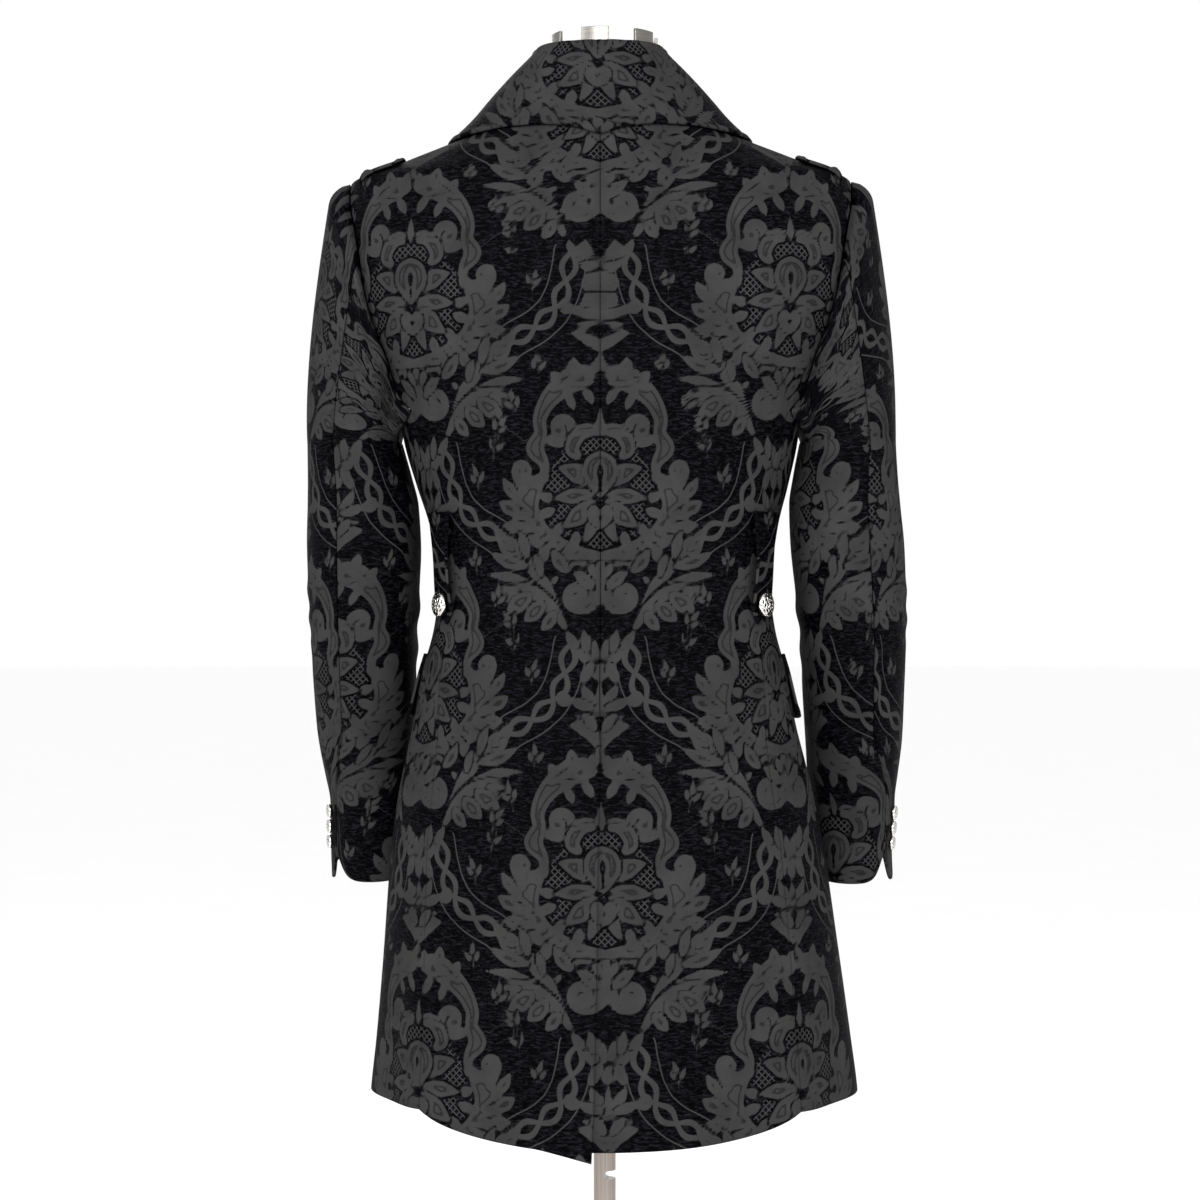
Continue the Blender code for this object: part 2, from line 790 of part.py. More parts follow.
def sleeve_panel(name, side, columns):
    """One sleeve panel between two seams, given by the sleeve's own angle."""
    rows = [0, 0.02, 0.06, 0.14, 0.28, 0.48, 0.72, 1.0]
    rows += [1 + i / 10 for i in range(1, 9)] + [1.85, 1.9, 1.955, 2]
    around, along = np.broadcast_arrays(np.asarray(columns)[None, :], np.asarray(rows)[:, None])
    inner = sleeve(around, along)
    outer = inner + sleeve_out(around, along) * WALL
    wall(name, hung(inner, side), hung(outer, side))


def collar_section(station, side):
    """The middle of the collar's cloth at one station, from its seam to its edge."""
    station = abs(station)
    seam = body(seam_angle(station), seam_height(station))
    out = body_out(seam_angle(station), seam_height(station))
    fold = np.array([fold_x(station), fold_y(station), fold_height(station)], float)
    edge = body(edge_angle(station), edge_height(station))
    edge = edge + body_out(edge_angle(station), edge_height(station)) * (WALL / 2 + 1.2)
    level = np.array([1, 1, 0])
    away = (edge - fold) * level
    away = away / np.linalg.norm(away)
    radius = 3.4
    up = np.array([0, 0, 1.0])
    foot = seam - out * (WALL / 2)
    stand_top = fold - away * radius - up * radius
    fall_top = fold + away * radius - up * radius
    foot = foot + (fold - seam) / np.linalg.norm(fold - seam) * 2.3
    points = [foot, foot * 0.5 + stand_top * 0.5 + away * 1.0, stand_top]
    for turn in (135, 90, 45):
        swing = math.radians(turn)
        points.append(fold - up * radius + (away * math.cos(swing) + up * math.sin(swing)) * radius)
    belly = np.cross(np.cross(away, edge - fall_top), edge - fall_top)
    belly = belly / np.linalg.norm(belly)
    if belly[2] < 0:
        belly = -belly
    points.append(fall_top)
    for share in (0.25, 0.5, 0.75):
        bow = 4 * share * (1 - share) * 3.5
        points.append(fall_top + (edge - fall_top) * share + belly * bow)
    points.append(edge)
    return np.array(points) * np.array([side, 1, 1])


def grid_out(grid):
    """The directions that a grid of points faces, by its neighbours."""
    down = np.gradient(grid, axis=0)
    over = np.gradient(grid, axis=1)
    across = np.cross(down, over)
    return across / np.linalg.norm(across, axis=-1, keepdims=True)


def collar():
    """The collar in one piece, turned over its stand."""
    half = 13
    stations = [i / half for i in range(-half, half + 1)]
    grid = np.array([collar_section(abs(s), 1 if s >= 0 else -1) for s in stations])
    grid = sway(grid)
    out = grid_out(grid)
    wall("collar", grid + out * WALL / 2, grid - out * WALL / 2)


def lapel(side):
    """One lapel, rolled over the front's edge and lying on the front."""
    left = side > 0
    width = column(LAPEL, 1)
    top = seam_height(1) - 1.5
    foot = BREAK + 6 if left else BREAK + 16

    def roll(v):
        height = foot + (top - foot) * v
        x = roll_x(height)
        return (x if left else max(x, 4 - x)), height

    def edge(v):
        height = foot + (LAPEL_TIP - foot) * v
        return max(roll_x(height) + width(height), roll(0)[0] + 3), height

    def bottom(u):
        start, end = roll(0), edge(0)
        return start[0] + (end[0] - start[0]) * u, start[1]

    def gorge(u):
        start, tip = np.array(roll(1)), np.array(edge(1))
        notch = start + np.array([44, -36])
        if u < NOTCH_AT:
            return tuple(start + (notch - start) * u / NOTCH_AT)
        return tuple(notch + (tip - notch) * (u - NOTCH_AT) / (1 - NOTCH_AT))

    rows = spread((1, 11))
    columns = [0, 0.01, 0.04, 0.12, 0.3, 0.5, NOTCH_AT, 0.8, 1]
    x, height = patch(bottom, gorge, roll, edge, rows, columns)
    curl_x = np.array([-2.6, -3.2, -2.2, 0, 0, 0, 0, 0, 0])
    curl_up = np.array([-2.6, -0.2, 2.0, 1.6, 0.8, 0.4, 0.2, 0, 0])
    curled = np.ones(x.shape) if left else fade(height, 1262, 1290)
    reach = np.clip((x[:, -1:] - x[:, :1]) / 30, 0.15, 1)
    x = x + curl_x * curled * reach
    above = WALL + 0.8 + curl_up * curled * reach
    if left:
        above = above + front_lift(x, height)
    angle = angle_at(x, height, front=True)
    lying("lapel_left" if left else "lapel_right", angle, height, side, above)


def dome(x, y):
    """A point of the shoulder over a place seen from above."""
    x, y = np.broadcast_arrays(np.asarray(x, float), np.asarray(y, float))
    low = np.full(x.shape, 1300.0)
    high = np.full(x.shape, 1470.0)
    for _ in range(40):
        height = (low + high) / 2
        square = np.where(y >= 0, back_square(height), front_square(height))
        depth = np.where(y >= 0, back_depth(height), front_depth(height))
        inside = (np.abs(x) / half_width(height)) ** square + (np.abs(y) / depth) ** square < 1
        low = np.where(inside, height, low)
        high = np.where(inside, high, height)
    return np.stack([x, y, (low + high) / 2], -1)


def shoulder_tab(side):
    """The tab across the shoulder seam, with its two ends down the back and the front."""
    inner_x, outer_x, front_y, back_y = SHOULDER_TAB
    x, y = np.meshgrid(np.linspace(inner_x, outer_x, 5), np.linspace(front_y, back_y, 12))
    points = dome(x, y)
    out = facing(dome, x, y, 1.0)
    out = out * np.sign(out[..., 2:3])
    raised = np.array([SHOULDER_TAB_EDGE, 0.2, 0.0, 0.2, SHOULDER_TAB_EDGE])
    above = (2 * SEAT + raised)[None, :, None]
    name = "shoulder_tab_left" if side > 0 else "shoulder_tab_right"
    wall(name, placed(points + out * (above + WALL), side), placed(points + out * above, side))


def waist_tab(side):
    """The pointed strap that hangs on the side back seam, held by a button."""
    low, high = WAIST_TAB
    across = column(WAIST_LINE, 1)

    def centre(height):
        return angle_at(across(height), height)

    rows = spread((0.2, 3), (1, 7))
    columns = [-1, -0.5, 0, 0.5, 1]
    v = np.asarray(rows)[:, None]
    u = np.asarray(columns)[None, :]
    point = WAIST_TAB_POINT * (1 - fade(v, 0, 0.2)) * np.abs(u)
    height = low + (high - low) * v + point
    narrow = 1 - 0.10 * (1 - v)
    angle = beside(centre(height), height, u * WAIST_TAB_HALF * narrow)
    above = WALL + TAB_SEAT + TAB_SWELL * np.sin(np.pi * v) + TAB_EDGE * (u < 0)
    above, angle = np.broadcast_arrays(above, angle)
    lying("waist_tab_left" if side > 0 else "waist_tab_right", angle, height, side, above)
    spot = WAIST_BUTTON
    swell = TAB_SWELL * math.sin(math.pi * (spot - low) / (high - low))
    name = "waist_button_left" if side > 0 else "waist_button_right"
    button(name, centre(spot), spot, WALL + TAB_SEAT + BUTTON_SEAT + swell, side)


def pocket_flap(side):
    """The flap of the hip pocket, from the side towards the front."""
    v = np.linspace(0, 1, 5)[:, None]
    u = np.linspace(0, 1, 9)[None, :]
    height = POCKET_TOP - POCKET_DEEP * (1 - v) - 6 * u
    angle = beside(POCKET_START, height, POCKET_WIDE * u)
    above = WALL + SEAT + FLAP_LIFT * (1 - v) ** 1.5 + 0 * u
    rounded = 7 * (np.abs(2 * u - 1) ** 8) * (1 - v) ** 2
    name = "pocket_flap_left" if side > 0 else "pocket_flap_right"
    lying(name, angle, height + rounded, side, above)


def button(name, angle, height, lift, side):
    """A domed metal button on the coat."""
    place = body(angle, height)
    out = body_out(angle, height)
    place = placed(place + out * lift, side)
    dome_button(name, place, out * np.array([side, 1, 1]), COAT_BUTTON, 14)


def dome_button(name, place, out, radius, segments):
    """A button with a flat back and a domed face, at a place and facing a direction."""
    profile = (
        (0, 0),
        (radius * 0.8, 0),
        (radius, radius * 0.12),
        (radius, radius * 0.2),
        (radius * 0.82, radius * 0.42),
        (radius * 0.45, radius * 0.58),
        (0, radius * 0.64),
    )
    turned(name, profile[::-1], segments, SILVER, place, out)


def front_buttons():
    """Three buttons down the left front, over the overlap."""
    for number, height in enumerate(FRONT_BUTTONS, 1):
        button(f"front_button_{number}", 180, height, LIFT + BUTTON_SEAT, 1)


def cuff_buttons(side):
    """Three small buttons beside the sleeve's back seam, just touching."""

    def face(around, along):
        around, along = np.array(around), np.array(along)
        return hung(sleeve(around, along) + sleeve_out(around, along) * WALL, side)

    for number, height in enumerate(CUFF_BUTTONS, 1):
        around = BACK_SEAM + 17.0
        along = 1 + (BICEPS - height) / (BICEPS - CUFF)
        over = face(around + 4, along) - face(around - 4, along)
        down = face(around, along + 0.017) - face(around, along - 0.017)
        out = np.cross(over, down) * side
        out = out / np.linalg.norm(out)
        name = f"cuff_button_{'left' if side > 0 else 'right'}_{number}"
        dome_button(name, face(around, along) + out * BUTTON_SEAT, out, CUFF_BUTTON, 10)


def form_torso():
    """The form: a smooth closed body with a neck and no limbs."""
    segments = 28
    points = []
    for height, wide, back, front in FORM:
        middle = float(widest_at(height)) if height < 1400 else 0
        for i in range(segments):
            turn = 2 * math.pi * (i + 0.5) / segments
            across, along = math.sin(turn), math.cos(turn)
            depth = back - middle if along >= 0 else front + middle
            x = wide * math.copysign(abs(across) ** 0.87, across)
            y = middle + depth * math.copysign(abs(along) ** 0.87, along)
            points.append((x, y, height))
    points = drawn_in(np.array(points))
    rings = [list(range(k * segments, (k + 1) * segments)) for k in range(len(FORM))]
    faces = [tuple(rings[0]), tuple(rings[-1])]
    for low, high in zip(rings, rings[1:]):
        for i in range(segments):
            j = (i + 1) % segments
            faces.append((low[i], low[j], high[j], high[i]))
    solid("form_torso", points, faces, COVER)


def neck_ring():
    """The steel neck ring, cut into six square teeth."""
    steps = 6
    segments = TEETH * steps
    tall = round(steps * TOOTH_SHARE)
    levels = np.array([RING_FOOT, TEETH_FOOT, TEETH_TOP], float)[:, None]
    turn = 2 * np.pi * (np.arange(segments)[None, :] - tall / 2) / segments + TEETH_TURN
    turn, level = np.broadcast_arrays(turn, levels)

    def shell(radius):
        return np.stack([radius * np.sin(turn), radius * np.cos(turn) + NECK_DEPTH, level], -1)

    cells = np.ones((2, segments), bool)
    cells[1] = np.arange(segments) % steps < tall
    wall("form_neck_ring", shell(RING_RADIUS), shell(RING_RADIUS - RING_WALL), STEEL, cells)


def stand():
    """The round base with its hub, and the pole in the hub's socket up to the form."""
    bore = POLE_RADIUS + SEAM_GAP
    profile = (
        (0, 0),
        (BASE_RADIUS - 2, 0),
        (BASE_RADIUS, 2),
        (BASE_RADIUS, 7),
        (BASE_RADIUS - 3, 10),
        (HUB_RADIUS + 8, 12),
        (HUB_RADIUS, 18),
        (HUB_RADIUS, HUB_TOP - 2),
        (HUB_RADIUS - 2, HUB_TOP),
        (bore, HUB_TOP),
        (bore, SOCKET_FLOOR),
        (0, SOCKET_FLOOR),
    )
    turned("stand_base", profile, 36, STEEL)
    foot = SOCKET_FLOOR + SEAM_GAP
    head = FORM_BOTTOM - SEAM_GAP
    pole_profile = (
        (0, foot),
        (POLE_RADIUS, foot),
        (POLE_RADIUS, NOTCH_HEIGHT - 20),
        (POLE_RADIUS, NOTCH_HEIGHT + 20),
        (POLE_RADIUS, head),
        (0, head),
    )
    pole = turned("stand_pole", pole_profile, 20, STEEL)
    cut = bmesh.new()
    bmesh.ops.create_cone(
        cut,
        cap_ends=True,
        segments=12,
        radius1=NOTCH_RADIUS * MM,
        radius2=NOTCH_RADIUS * MM,
        depth=4 * POLE_RADIUS * MM,
        matrix=Matrix.Rotation(math.pi / 2, 4, "X"),
    )
    for vert in cut.verts:
        if vert.co.x < -0.0001:
            vert.co.x = -2 * POLE_RADIUS * MM
    mesh = bpy.data.meshes.new("notch")
    cut.to_mesh(mesh)
    cut.free()
    cutter = bpy.data.objects.new("notch", mesh)
    cutter.location = (-NOTCH_RADIUS * MM, 0, NOTCH_HEIGHT * MM)
    cutter.hide_render = True
    cutter.display_type = "WIRE"
    bpy.context.scene.collection.objects.link(cutter)
    boolean = pole.modifiers.new("notch", "BOOLEAN")
    boolean.operation = "DIFFERENCE"
    boolean.object = cutter


def overcoat():
    """The whole object, piece by piece."""
    gap = 0.16
    vent = np.array([2.5, 6.0])
    over = (*(BACK_SEAM + vent), *BACK_ARM_TURNS[6:], *FRONT_ARM_TURNS[-2:2:-1])
    upper = (BACK_SEAM + gap, *over, FRONT_SEAM - gap)
    arm_pit = np.linspace(180 - ARM_CORNER, 360 + ARM_CORNER, SIDE_STEPS + 1)
    behind = (*(360 + np.array(BACK_ARM_TURNS[1:5])), *(360 + BACK_SEAM - vent[::-1]))
    under = (FRONT_SEAM + gap, FRONT_ARM_TURNS[1], *arm_pit, *behind, 360 + BACK_SEAM - gap)
    for side in (1, -1):
        end = "left" if side > 0 else "right"
        back_panel(side)
        side_panel(side)
        front_panel(side)
        sleeve_panel(f"sleeve_upper_{end}", side, upper)
        sleeve_panel(f"sleeve_under_{end}", side, under)
        lapel(side)
        shoulder_tab(side)
        waist_tab(side)
        pocket_flap(side)
        cuff_buttons(side)
    collar()
    front_buttons()
    form_torso()
    neck_ring()
    stand()


overcoat()
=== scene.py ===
"""The overcoat on its dress form, dressed for the picture.

Lengths are in millimetres until a mesh is made. +Z is up, the coat's front faces -Y and the
wearer's left is +X. The cloth pieces are fine grids on the same surfaces as the solids.
"""

import math

import bpy
import numpy as np
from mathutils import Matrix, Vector


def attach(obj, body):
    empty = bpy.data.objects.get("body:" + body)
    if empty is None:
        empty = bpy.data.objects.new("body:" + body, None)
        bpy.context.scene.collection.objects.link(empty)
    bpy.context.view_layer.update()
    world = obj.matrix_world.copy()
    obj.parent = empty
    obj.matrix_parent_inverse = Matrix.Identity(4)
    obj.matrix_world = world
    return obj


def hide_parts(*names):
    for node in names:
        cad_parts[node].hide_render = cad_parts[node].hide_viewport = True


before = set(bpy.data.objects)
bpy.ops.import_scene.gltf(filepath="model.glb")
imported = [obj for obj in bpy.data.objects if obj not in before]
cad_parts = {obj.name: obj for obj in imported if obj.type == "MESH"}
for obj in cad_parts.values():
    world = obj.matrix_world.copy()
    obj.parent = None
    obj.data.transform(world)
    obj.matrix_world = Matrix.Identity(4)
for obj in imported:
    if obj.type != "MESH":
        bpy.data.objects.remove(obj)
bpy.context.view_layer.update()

# The two back panels
# They are cut from a heavy damask, mirrored on the centre back seam, and shaped by it and by
# the side back seams. Below the waist the seam stays open as a vent, the left panel over.

MM = 0.001
WALL = 2.6
SEAM_GAP = 0.1
LYING_GAP = 0.5
LIP = 0.6
HEM = 590
VENT_TOP = 887
UNDERARM = 1185
SEAM_TOP = 1196
SHOULDER_TIP = 1402
NECK_SIDE = 1467
NECK_BACK = 1471
UNDERLAP = 40
VENT_SPREAD = 14
VENT_DROP = 9
VENT_DROP_FROM = 640
LIFT = WALL + LYING_GAP

BODY = (
    # height, half_width, back, front, widest_at, back_squareness, front_squareness
    (550, 219.0, 173, 163, 25, 2.4, 2.3),
    (591, 217.0, 171, 161, 25, 2.4, 2.3),
    (643, 211.5, 167, 158, 25, 2.4, 2.3),
    (718, 204.0, 160, 152, 24, 2.4, 2.3),
    (789, 196.7, 152, 146, 22, 2.4, 2.3),
    (842, 188.4, 145, 141, 20, 2.4, 2.3),
    (883, 179.8, 139, 138, 17, 2.4, 2.3),
    (920, 172.0, 131, 136, 13, 2.4, 2.3),
    (963, 166.0, 121, 133, 9, 2.4, 2.3),
    (1005, 156.4, 109, 131, 5, 2.4, 2.3),
    (1023, 154.5, 106, 130, 4, 2.4, 2.3),
    (1061, 155.5, 105, 130, 2, 2.4, 2.3),
    (1094, 160.7, 107, 131, 0, 2.4, 2.3),
    (1132, 172.0, 110, 133, 0, 2.4, 2.3),
    (1163, 180.6, 113, 134, 0, 2.5, 2.3),
    (1210, 190.0, 116, 134, 0, 2.7, 2.3),
    (1246, 206.0, 118, 133, 0, 2.9, 2.3),
    (1268, 216.0, 118, 131, 0, 3.0, 2.3),
    (1294, 226.0, 118, 128, 0, 3.0, 2.3),
    (1316, 231.0, 118, 124, 0, 3.0, 2.3),
    (1355, 234.0, 115, 113, 0, 2.8, 2.3),
    (1380, 234.0, 111, 103, 0, 2.5, 2.3),
    (1402, 232.0, 106, 92, 0, 2.3, 2.2),
    (1420, 190.0, 100, 80, 0, 2.1, 2.1),
    (1440, 142.0, 92, 66, 0, 2.1, 2.1),
    (1467, 76.0, 77, 48, 0, 2.0, 2.0),
    (1480, 50.0, 68, 40, 0, 2.0, 2.0),
)
FOLDS = (
    # angle, half_spread, deep, fades_at
    (24, 13, -3.5, 850),
    (44, 12, 4.5, 900),
    (66, 14, -4.0, 860),
    (95, 16, 3.0, 820),
    (128, 18, -3.0, 800),
    (154, 14, 2.5, 780),
)
SIDE_SEAMS = (
    # height, back_seam, front_seam
    (550, 163.5, 199),
    (700, 158.0, 186),
    (805, 154.0, 178),
    (914, 144.0, 160),
    (970, 144.5, 152),
    (1023, 145.5, 146),
    (1061, 146.0, 148),
    (1111, 149.0, 157),
    (1140, 154.0, 166),
    (1173, 163.0, 173),
    (1196, 172.0, 177),
)
ARMHOLE = (
    # height, back_edge, front_edge
    (1196, 172, 177),
    (1208, 183, 182),
    (1226, 190, 187),
    (1246, 196, 191),
    (1268, 205, 196),
    (1294, 213, 201),
    (1316, 217, 206),
    (1340, 221, 212),
    (1355, 224, 217),
    (1380, 230, 227),
    (1402, 232, 232),
)
ARM_MIDDLE = (UNDERARM + SHOULDER_TIP) / 2
ARM_REACH = (SHOULDER_TIP - UNDERARM) / 2
ARM_CORNER = math.degrees(math.asin((SEAM_TOP - ARM_MIDDLE) / ARM_REACH))


def column(table, index):
    """One column of a table as a smooth function of the first, never past its rows."""
    places = np.array([row[0] for row in table], float)
    values = np.array([row[index] for row in table], float)
    steps = np.diff(places)
    slopes = np.diff(values) / steps
    lean = np.zeros(len(places))
    lean[0] = slopes[0]
    lean[-1] = slopes[-1]
    same = slopes[:-1] * slopes[1:] > 0
    before = np.where(same, slopes[:-1], 1)
    after = np.where(same, slopes[1:], 1)
    lean[1:-1] = np.where(same, 2 * before * after / (before + after), 0)

    def at(place):
        place = np.clip(place, places[0], places[-1])
        k = np.clip(np.searchsorted(places, place) - 1, 0, len(places) - 2)
        t = (place - places[k]) / steps[k]
        start = (1 + 2 * t) * (1 - t) ** 2 * values[k] + t * (1 - t) ** 2 * steps[k] * lean[k]
        end = t * t * (3 - 2 * t) * values[k + 1] + t * t * (t - 1) * steps[k] * lean[k + 1]
        return start + end

    return at


half_width, back_depth, front_depth, widest_at, back_square, front_square = (
    column(BODY, i) for i in range(1, 7)
)
back_seam_x, front_seam_x = column(SIDE_SEAMS, 1), column(SIDE_SEAMS, 2)
back_edge_x, front_edge_x = column(ARMHOLE, 1), column(ARMHOLE, 2)


def fade(value, start, end):
    """Nought at start and one at end, easing at both."""
    t = np.clip((value - start) / (end - start), 0, 1)
    return t * t * (3 - 2 * t)


def fold_depth(angle, height):
    """How far the skirt's folds push the cloth out at a place."""
    deep = 0
    for middle, spread, most, fades_at in FOLDS:
        across = np.exp(-(((np.abs(angle) - middle) / spread) ** 2))
        deep = deep + most * across * (1 - fade(height, HEM - 30, fades_at))
    return deep


def body(angle, height):
    """The coat's outer face. The angle is nought at the centre back and 90 at the left side."""
    angle, height = np.broadcast_arrays(np.asarray(angle, float), np.asarray(height, float))
    turn = np.radians(angle)
    across, along = np.sin(turn), np.cos(turn)
    behind = along >= 0
    power = 2 / np.where(behind, back_square(height), front_square(height))
    middle = widest_at(height)
    depth = np.where(behind, back_depth(height) - middle, front_depth(height) + middle)
    out = 1 + fold_depth(angle, height) / 170
    x = out * half_width(height) * np.sign(across) * np.abs(across) ** power
    y = middle + out * depth * np.sign(along) * np.abs(along) ** power
    return np.stack([x, y, height], -1)


def facing(surface, first, second, small=0.4):
    """The unit direction that a surface of two values faces."""
    one = surface(first + small, second) - surface(first - small, second)
    two = surface(first, second + small) - surface(first, second - small)
    across = np.cross(one, two)
    return across / np.linalg.norm(across, axis=-1, keepdims=True)


def body_out(angle, height):
    """The direction that the coat faces, away from the form."""
    return -facing(body, angle, height)


def angle_at(x, height, front=False):
    """The angle where the coat's ring is x from the middle."""
    square = front_square(height) if front else back_square(height)
    share = np.clip(np.abs(x) / half_width(height), 0, 1)
    turn = np.degrees(np.arcsin(share ** (square / 2))) * np.sign(x)
    return 180 - turn if front else turn


def beside(angle, height, distance):
    """The angle that lies a distance further round the coat."""
    speed = np.linalg.norm(body(angle + 0.5, height) - body(angle - 0.5, height), axis=-1)
    return angle + distance / speed


def side_back(height):
    return angle_at(back_seam_x(height), height)


def side_front(height):
    return angle_at(front_seam_x(height), height, front=True)


def hem(angle):
    """The height of the hem: it dips at the back and front and rises at the sides."""
    off = np.abs(angle)
    share = np.clip(off / 46, 0, 1)
    side_rise = 6 * fade(off, 40, 80) * (1 - fade(off, 110, 150))
    return HEM - 23 * (1 - share**3) - 8 * fade(off, 125, 180) + side_rise


DRAWN_IN = (
    # height, share of the width
    (560, 0.985),
    (760, 0.988),
    (880, 0.996),
    (960, 0.984),
    (1040, 0.972),
    (1200, 0.967),
    (1400, 0.967),
    (1416, 0.962),
    (1466, 0.862),
    (1500, 0.860),
)
share_across = column(DRAWN_IN, 1)


UPPER_TURN = 0.0386
TURNS_ABOUT = 110
SKIRT_SWAY = 9


def drawn_in(points):
    """The points drawn in across, and turned a little above the waist."""
    moved = points.copy()
    turned_by = UPPER_TURN * fade(moved[..., 2], 1060, 1200)
    moved[..., 0] *= share_across(moved[..., 2])
    moved[..., 0] += turned_by * (TURNS_ABOUT - moved[..., 1])
    return moved


def sway(points):
    """The coat as it hangs, its skirt a little to the wearer's right of the pole."""
    moved = drawn_in(points)
    moved[..., 0] -= SKIRT_SWAY * fade(moved[..., 2], 960, HEM)
    return moved


def placed(points, side):
    """Points of the left half, or mirrored for the right, with the skirt's sway."""
    return sway(points * np.array([side, 1, 1]))


def even(length, cell):
    """Places from nought to one, about a cell apart."""
    return np.linspace(0, 1, max(2, round(length / cell)) + 1)


def patch(bottom, top, left, right, v, u, low_share=None):
    """A grid of angles and heights between four edges, at row places v and columns u."""
    share = (v if low_share is None else low_share)[:, None, None]
    low = np.array([bottom(t) for t in u], float)[None]
    high = np.array([top(t) for t in u], float)[None]
    near = np.array([left(t) for t in v], float)[:, None]
    far = np.array([right(t) for t in v], float)[:, None]
    u = u[None, :, None]
    ends = (1 - u) * ((1 - share) * low[:, :1] + share * high[:, :1])
    ends = ends + u * ((1 - share) * low[:, -1:] + share * high[:, -1:])
    grid = (1 - share) * low + share * high + (1 - u) * near + u * far - ends
    return grid[..., 0], grid[..., 1]


def curve(points, count):
    """A smooth line through rows of points, and how far along the rows each of its points is."""
    t = np.linspace(0, len(points) - 1, count)
    k = np.clip(t.astype(int), 0, len(points) - 2)
    f = (t - k)[:, None]
    before, start = points[np.maximum(k - 1, 0)], points[k]
    end, after = points[k + 1], points[np.minimum(k + 2, len(points) - 1)]
    bend = (2 * before - 5 * start + 4 * end - after) * f**2
    bend = bend + (3 * start - before - 3 * end + after) * f**3
    return 0.5 * (2 * start + (end - before) * f + bend), t


# How the damask is drawn: scrolls, leaves and straps as rows of round spots on one half of a
# repeat. The whole cloth is that half mirrored on each column and dropped by half a repeat.
COLUMN = 172.0
REPEAT = 336.0
spots = []


def stroke(way, radii, steps=16, cut=2.0):
    """Spots along a smooth line through points, cut out of what is drawn before it."""
    spot, t = curve(np.array(way, float), steps)
    radius = np.interp(t, np.linspace(0, len(way) - 1, len(radii)), radii)
    spots.append((np.column_stack([spot, radius]), cut))


def curl(x, y, radius, start, turns, thick, end_thick=2.0, cut=0):
    """A scroll that winds in to a round bulb."""
    t = np.linspace(0, 1, 26)
    turn = np.radians(start + 360 * turns * t)
    reach = radius * (1 - 0.78 * t)
    way = np.column_stack([x + reach * np.cos(turn), y + reach * np.sin(turn)])
    thickness = thick + (end_thick - thick) * t
    thickness[-3:] = end_thick * 1.5
    spots.append((np.column_stack([way, thickness]), cut))


def leaflet(x, y, heading, length, fat, bend=30, cut=1.8):
    """One pointed lobe of a leaf."""
    way = [(x, y)]
    for i in range(4):
        turn = math.radians(heading + bend * (i + 0.5) / 4)
        x, y = x + length / 4 * math.cos(turn), y + length / 4 * math.sin(turn)
        way.append((x, y))
    stroke(way, (fat * 0.35, fat * 0.9, fat, fat * 0.62, 0.3), 11, cut)


# The medallion: a broad shield of flame lobes, joined to the scrolls above it
shield = [(2, -60), (22, -57), (42, -50), (57, -40), (66, -27), (67, -14), (60, -2), (52, 8)]
stroke(shield, (4, 6, 9, 11.5, 13, 12, 8, 4.5), 40)
for lobe in (
    (70, -3, 62, 26, 4.4),
    (75, -10, 42, 22, 5.0),
    (74, -22, 16, 20, 6.0),
    (70, -34, -14, 20, 6.0),
    (60, -45, -38, 19, 5.6),
    (46, -54, -56, 17, 5.2),
    (30, -60, -72, 14, 4.6),
    (14, -61, -86, 12, 4.0),
):
    leaflet(*lobe, 26, 0)
for vein_at in ((77, -15, 206), (76, -29, 186), (68, -42, 160), (54, -53, 138), (38, -61, 120)):
    leaflet(*vein_at, 15, 1.3, 14, None)
for lobe in ((52, -8, 206, 13), (54, -24, 176, 15), (42, -42, 142, 15), (24, -51, 118, 13)):
    leaflet(*lobe, 4.6, -30, 0)
plume = [(50, 6), (50, 19), (58, 32), (53, 45), (54, 57), (48, 71), (37, 83), (23, 92), (9, 95)]
stroke(plume, (4, 4.5, 8.4, 5.6, 6, 7.6, 9.6, 11.5, 8), 44, 0)
for lobe in (
    (9, 93, 112, 19, 5),
    (22, 96, 74, 15, 5),
    (36, 88, 50, 13, 4.4),
    (15, 84, 232, 18, 4.4),
    (29, 78, 240, 15, 4),
):
    leaflet(*lobe, 12, 0)
leaflet(14, 83, 16, 22, 1.2, -14, None)
leaflet(25, 96, -26, 20, 1.2, -20, None)
curl(35, 50, 14, -50, -1.05, 4.4, 3.8)
curl(69, 14, 10.5, 228, 0.95, 3.4, 3.4)
stroke([(50, 8), (56, 5), (62, 6)], (4.5, 3.6, 3.0), 8, 0)

# Inside it: a flower of eight petals over a heart, with two beans above
leaflet(5, 2, 36, 36, 8.4, -26)
leaflet(8, -8, 0, 34, 6.6, -10)
leaflet(6, -15, -40, 34, 8.2, 6)
leaflet(3, -22, -72, 30, 5.6, 8)
stroke([(0, 25), (7, 20), (9, 11), (5, 2), (0, -7)], (5, 6.5, 6.5, 5, 3), 18)
stroke([(0, 3), (0, -4)], (1.5, 1.5), 5, None)
stroke([(0, -34), (5, -29), (7.5, -23), (4, -20), (0, -23)], (2.6, 4, 4.2, 3, 1.6), 14)
stroke([(8, 45), (15, 46), (22, 40), (25, 31), (20, 26)], (3, 5.5, 6.5, 6, 3.5), 16)
stroke([(2, 49), (12, 52), (22, 49)], (1.5, 2.1, 1.8), 12, 1.2)
leaflet(0, 44, 90, 22, 3.2, 0)

# Under it: a stem with two scrolls and small bunches
stroke([(1, -68), (2, -84), (5, -98), (12, -105)], (3.5, 5, 6.5, 5), 18)
curl(20, -94, 13, 212, 1.15, 5.0, 3.0)
leaflet(7, -88, 50, 24, 5.0, -22)
leaflet(4, -78, 66, 16, 3.6, -20)
stroke([(13, -66), (24, -67), (31, -73)], (1.8, 2.3, 2.3), 9)
leaflet(29, -73, 34, 24, 5.6, 42)
leaflet(38, -78, -48, 15, 3.0, 24)

